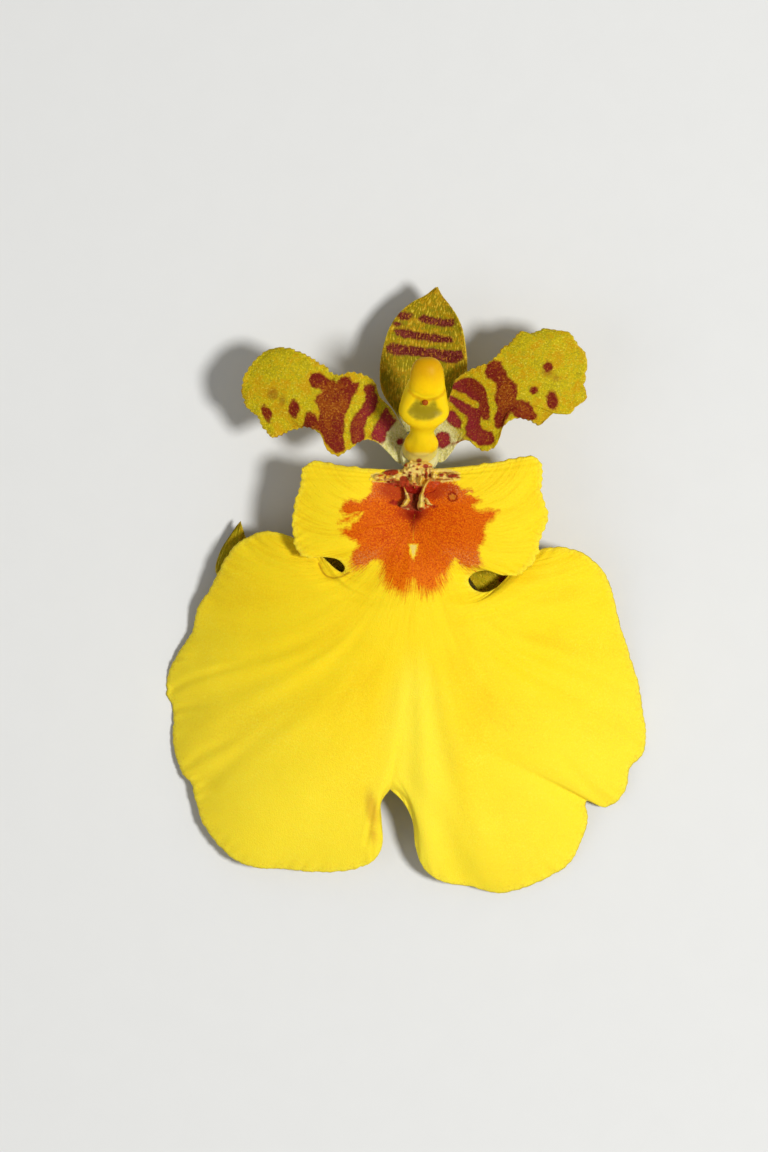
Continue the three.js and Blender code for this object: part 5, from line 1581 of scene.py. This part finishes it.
class ORCHID_OT_column(OrchidOperator, bpy.types.Operator):
    """Add the fleshy column with its knob, shoulders and stigma"""

    bl_idname = "orchid.add_column"
    bl_label = "Add Column"

    def execute(self, context):
        material = column_material(context.scene.orchid_colours)
        finished(placed("fleshy_column", column_mesh()), material, "column", "column")
        return {"FINISHED"}


class ORCHID_OT_anther_cap(OrchidOperator, bpy.types.Operator):
    """Add the anther cap at the column's tip"""

    bl_idname = "orchid.add_anther_cap"
    bl_label = "Add Anther Cap"

    def execute(self, context):
        colours = context.scene.orchid_colours
        material = waxy_material("cap_tissue", colours.cap_front, colours.cap_shade, 0.45)
        finished(placed("golden_cap", cap_mesh()), material, "anther_cap", "anther_cap")
        return {"FINISHED"}


class ORCHID_OT_pollinarium(OrchidOperator, bpy.types.Operator):
    """Add the pollen masses, their strap and the sticky pad over the stigma"""

    bl_idname = "orchid.add_pollinarium"
    bl_label = "Add Pollinarium"

    def execute(self, context):
        colours = context.scene.orchid_colours
        material = waxy_material("pollen_wax", colours.pollen_brown, colours.pollen_amber, 0.35)
        finished(placed("pollen_masses", pollen_mesh()), material, "pollen", "pollinarium")
        return {"FINISHED"}


class ORCHID_OT_ovary(OrchidOperator, bpy.types.Operator):
    """Add the ribbed ovary and its short stalk"""

    bl_idname = "orchid.add_ovary"
    bl_label = "Add Ovary and Stalk"

    def execute(self, context):
        scene = context.scene
        material = stalk_material(scene.orchid_colours)
        obj = ribbed_stalk(placed("ribbed_ovary", stalk_path()), scene.orchid_stalk, material)
        finished(obj, material, "stalk", "ovary_and_stalk")
        return {"FINISHED"}


def add_light(name, direction, distance, size, power):
    """Adds a soft round light that points at the flower, from an azimuth and elevation in degrees."""
    data = bpy.data.lights.new(name, "AREA")
    data.shape = "DISK"
    data.size, data.energy = size, power
    lamp = placed(name, data)
    around, up = (math.radians(degrees) for degrees in direction)
    side = math.cos(around) * math.cos(up), math.sin(around) * math.cos(up)
    lamp.location = Vector((*side, math.sin(up))) * distance
    lamp.rotation_euler = (-lamp.location).to_track_quat("-Z", "Y").to_euler()


def add_camera():
    """Adds the camera over the flower, with a lens that takes in the whole chart."""
    camera = placed("camera", bpy.data.cameras.new("camera"))
    camera.data.lens = camera.data.sensor_width * (EYE[2] - CHART_HEIGHT) / (CHART_HIGH / CHART_SCALE)
    camera.location = Vector(EYE) * MM
    return camera


class ORCHID_OT_stage(OrchidOperator, bpy.types.Operator):
    """Add the pale floor, the soft lights and the camera that looks down on the flower"""

    bl_idname = "orchid.add_stage"
    bl_label = "Add Stage"

    def execute(self, context):
        scene, settings = context.scene, context.scene.orchid_stage
        reach = 1.5
        mesh = bpy.data.meshes.new("studio_floor")
        corners = [(-reach, -reach, 0), (reach, -reach, 0), (reach, reach, 0), (-reach, reach, 0)]
        mesh.from_pydata(corners, [], [(0, 1, 2, 3)])
        floor = placed("studio_floor", mesh)
        m = Finish("floor_paper")
        grain = m.noise(0.4, 3)
        color = m.mix(m.step(grain, -0.4, 0.4, 0.0, 0.06), settings.floor, (0.6, 0.6, 0.58))
        mesh.materials.append(m.done(color, m.add(0.75, m.times(grain, 0.1)), m.bump(grain, 0.02)))

        add_light("key_light", (-9, 62), 0.5, 0.1, settings.key_power)
        add_light("fill_light", (200, 40), 0.6, 0.5, settings.fill_power)
        world = bpy.data.worlds.new("studio_sky")
        world.use_nodes = True
        background = world.node_tree.nodes["Background"]
        background.inputs["Color"].default_value = (1, 1, 1, 1)
        background.inputs["Strength"].default_value = settings.sky
        scene.world = world
        scene.view_settings.view_transform = "Standard"
        scene.camera = add_camera()
        return {"FINISHED"}


class ORCHID_PT_panel(bpy.types.Panel):
    """Lists the flower's pieces and their settings"""

    bl_label = "Oncidium Orchid"
    bl_idname = "ORCHID_PT_panel"
    bl_space_type = "VIEW_3D"
    bl_region_type = "UI"
    bl_category = "Orchid"

    def draw(self, context):
        for title, settings, operators in SECTIONS:
            box = self.layout.box()
            box.label(text=title)
            group = getattr(context.scene, settings, None)
            for key in group.__annotations__ if group else ():
                box.prop(group, key)
            for operator in operators:
                box.operator(operator.bl_idname)


SECTIONS = [
    ("Blades", "orchid_blades", [ORCHID_OT_lip, ORCHID_OT_petals, ORCHID_OT_sepals]),
    ("Callus", "orchid_callus", [ORCHID_OT_callus]),
    ("Column", "", [ORCHID_OT_column, ORCHID_OT_anther_cap, ORCHID_OT_pollinarium]),
    ("Ovary and stalk", "orchid_stalk", [ORCHID_OT_ovary]),
    ("Colours", "orchid_colours", []),
    ("Stage", "orchid_stage", [ORCHID_OT_stage]),
]
GROUPS = {
    "orchid_blades": OrchidBladeSettings,
    "orchid_callus": OrchidCallusSettings,
    "orchid_stalk": OrchidStalkSettings,
    "orchid_colours": OrchidColours,
    "orchid_stage": OrchidStageSettings,
}
OPERATORS = [operator for _, _, operators in SECTIONS for operator in operators]


def register():
    for group in GROUPS.values():
        bpy.utils.register_class(group)
    for name, group in GROUPS.items():
        setattr(bpy.types.Scene, name, PointerProperty(type=group))
    for operator in OPERATORS:
        bpy.utils.register_class(operator)
    bpy.utils.register_class(ORCHID_PT_panel)


def unregister():
    bpy.utils.unregister_class(ORCHID_PT_panel)
    for operator in reversed(OPERATORS):
        bpy.utils.unregister_class(operator)
    for name in GROUPS:
        delattr(bpy.types.Scene, name)
    for group in reversed(GROUPS.values()):
        bpy.utils.unregister_class(group)


def main():
    register()
    bpy.ops.orchid.add_stage()
    bpy.ops.orchid.add_lip()
    bpy.ops.orchid.add_callus()
    bpy.ops.orchid.add_petals()
    bpy.ops.orchid.add_sepals()
    bpy.ops.orchid.add_column()
    bpy.ops.orchid.add_anther_cap()
    bpy.ops.orchid.add_pollinarium()
    bpy.ops.orchid.add_ovary()


if __name__ == "__main__":
    main()
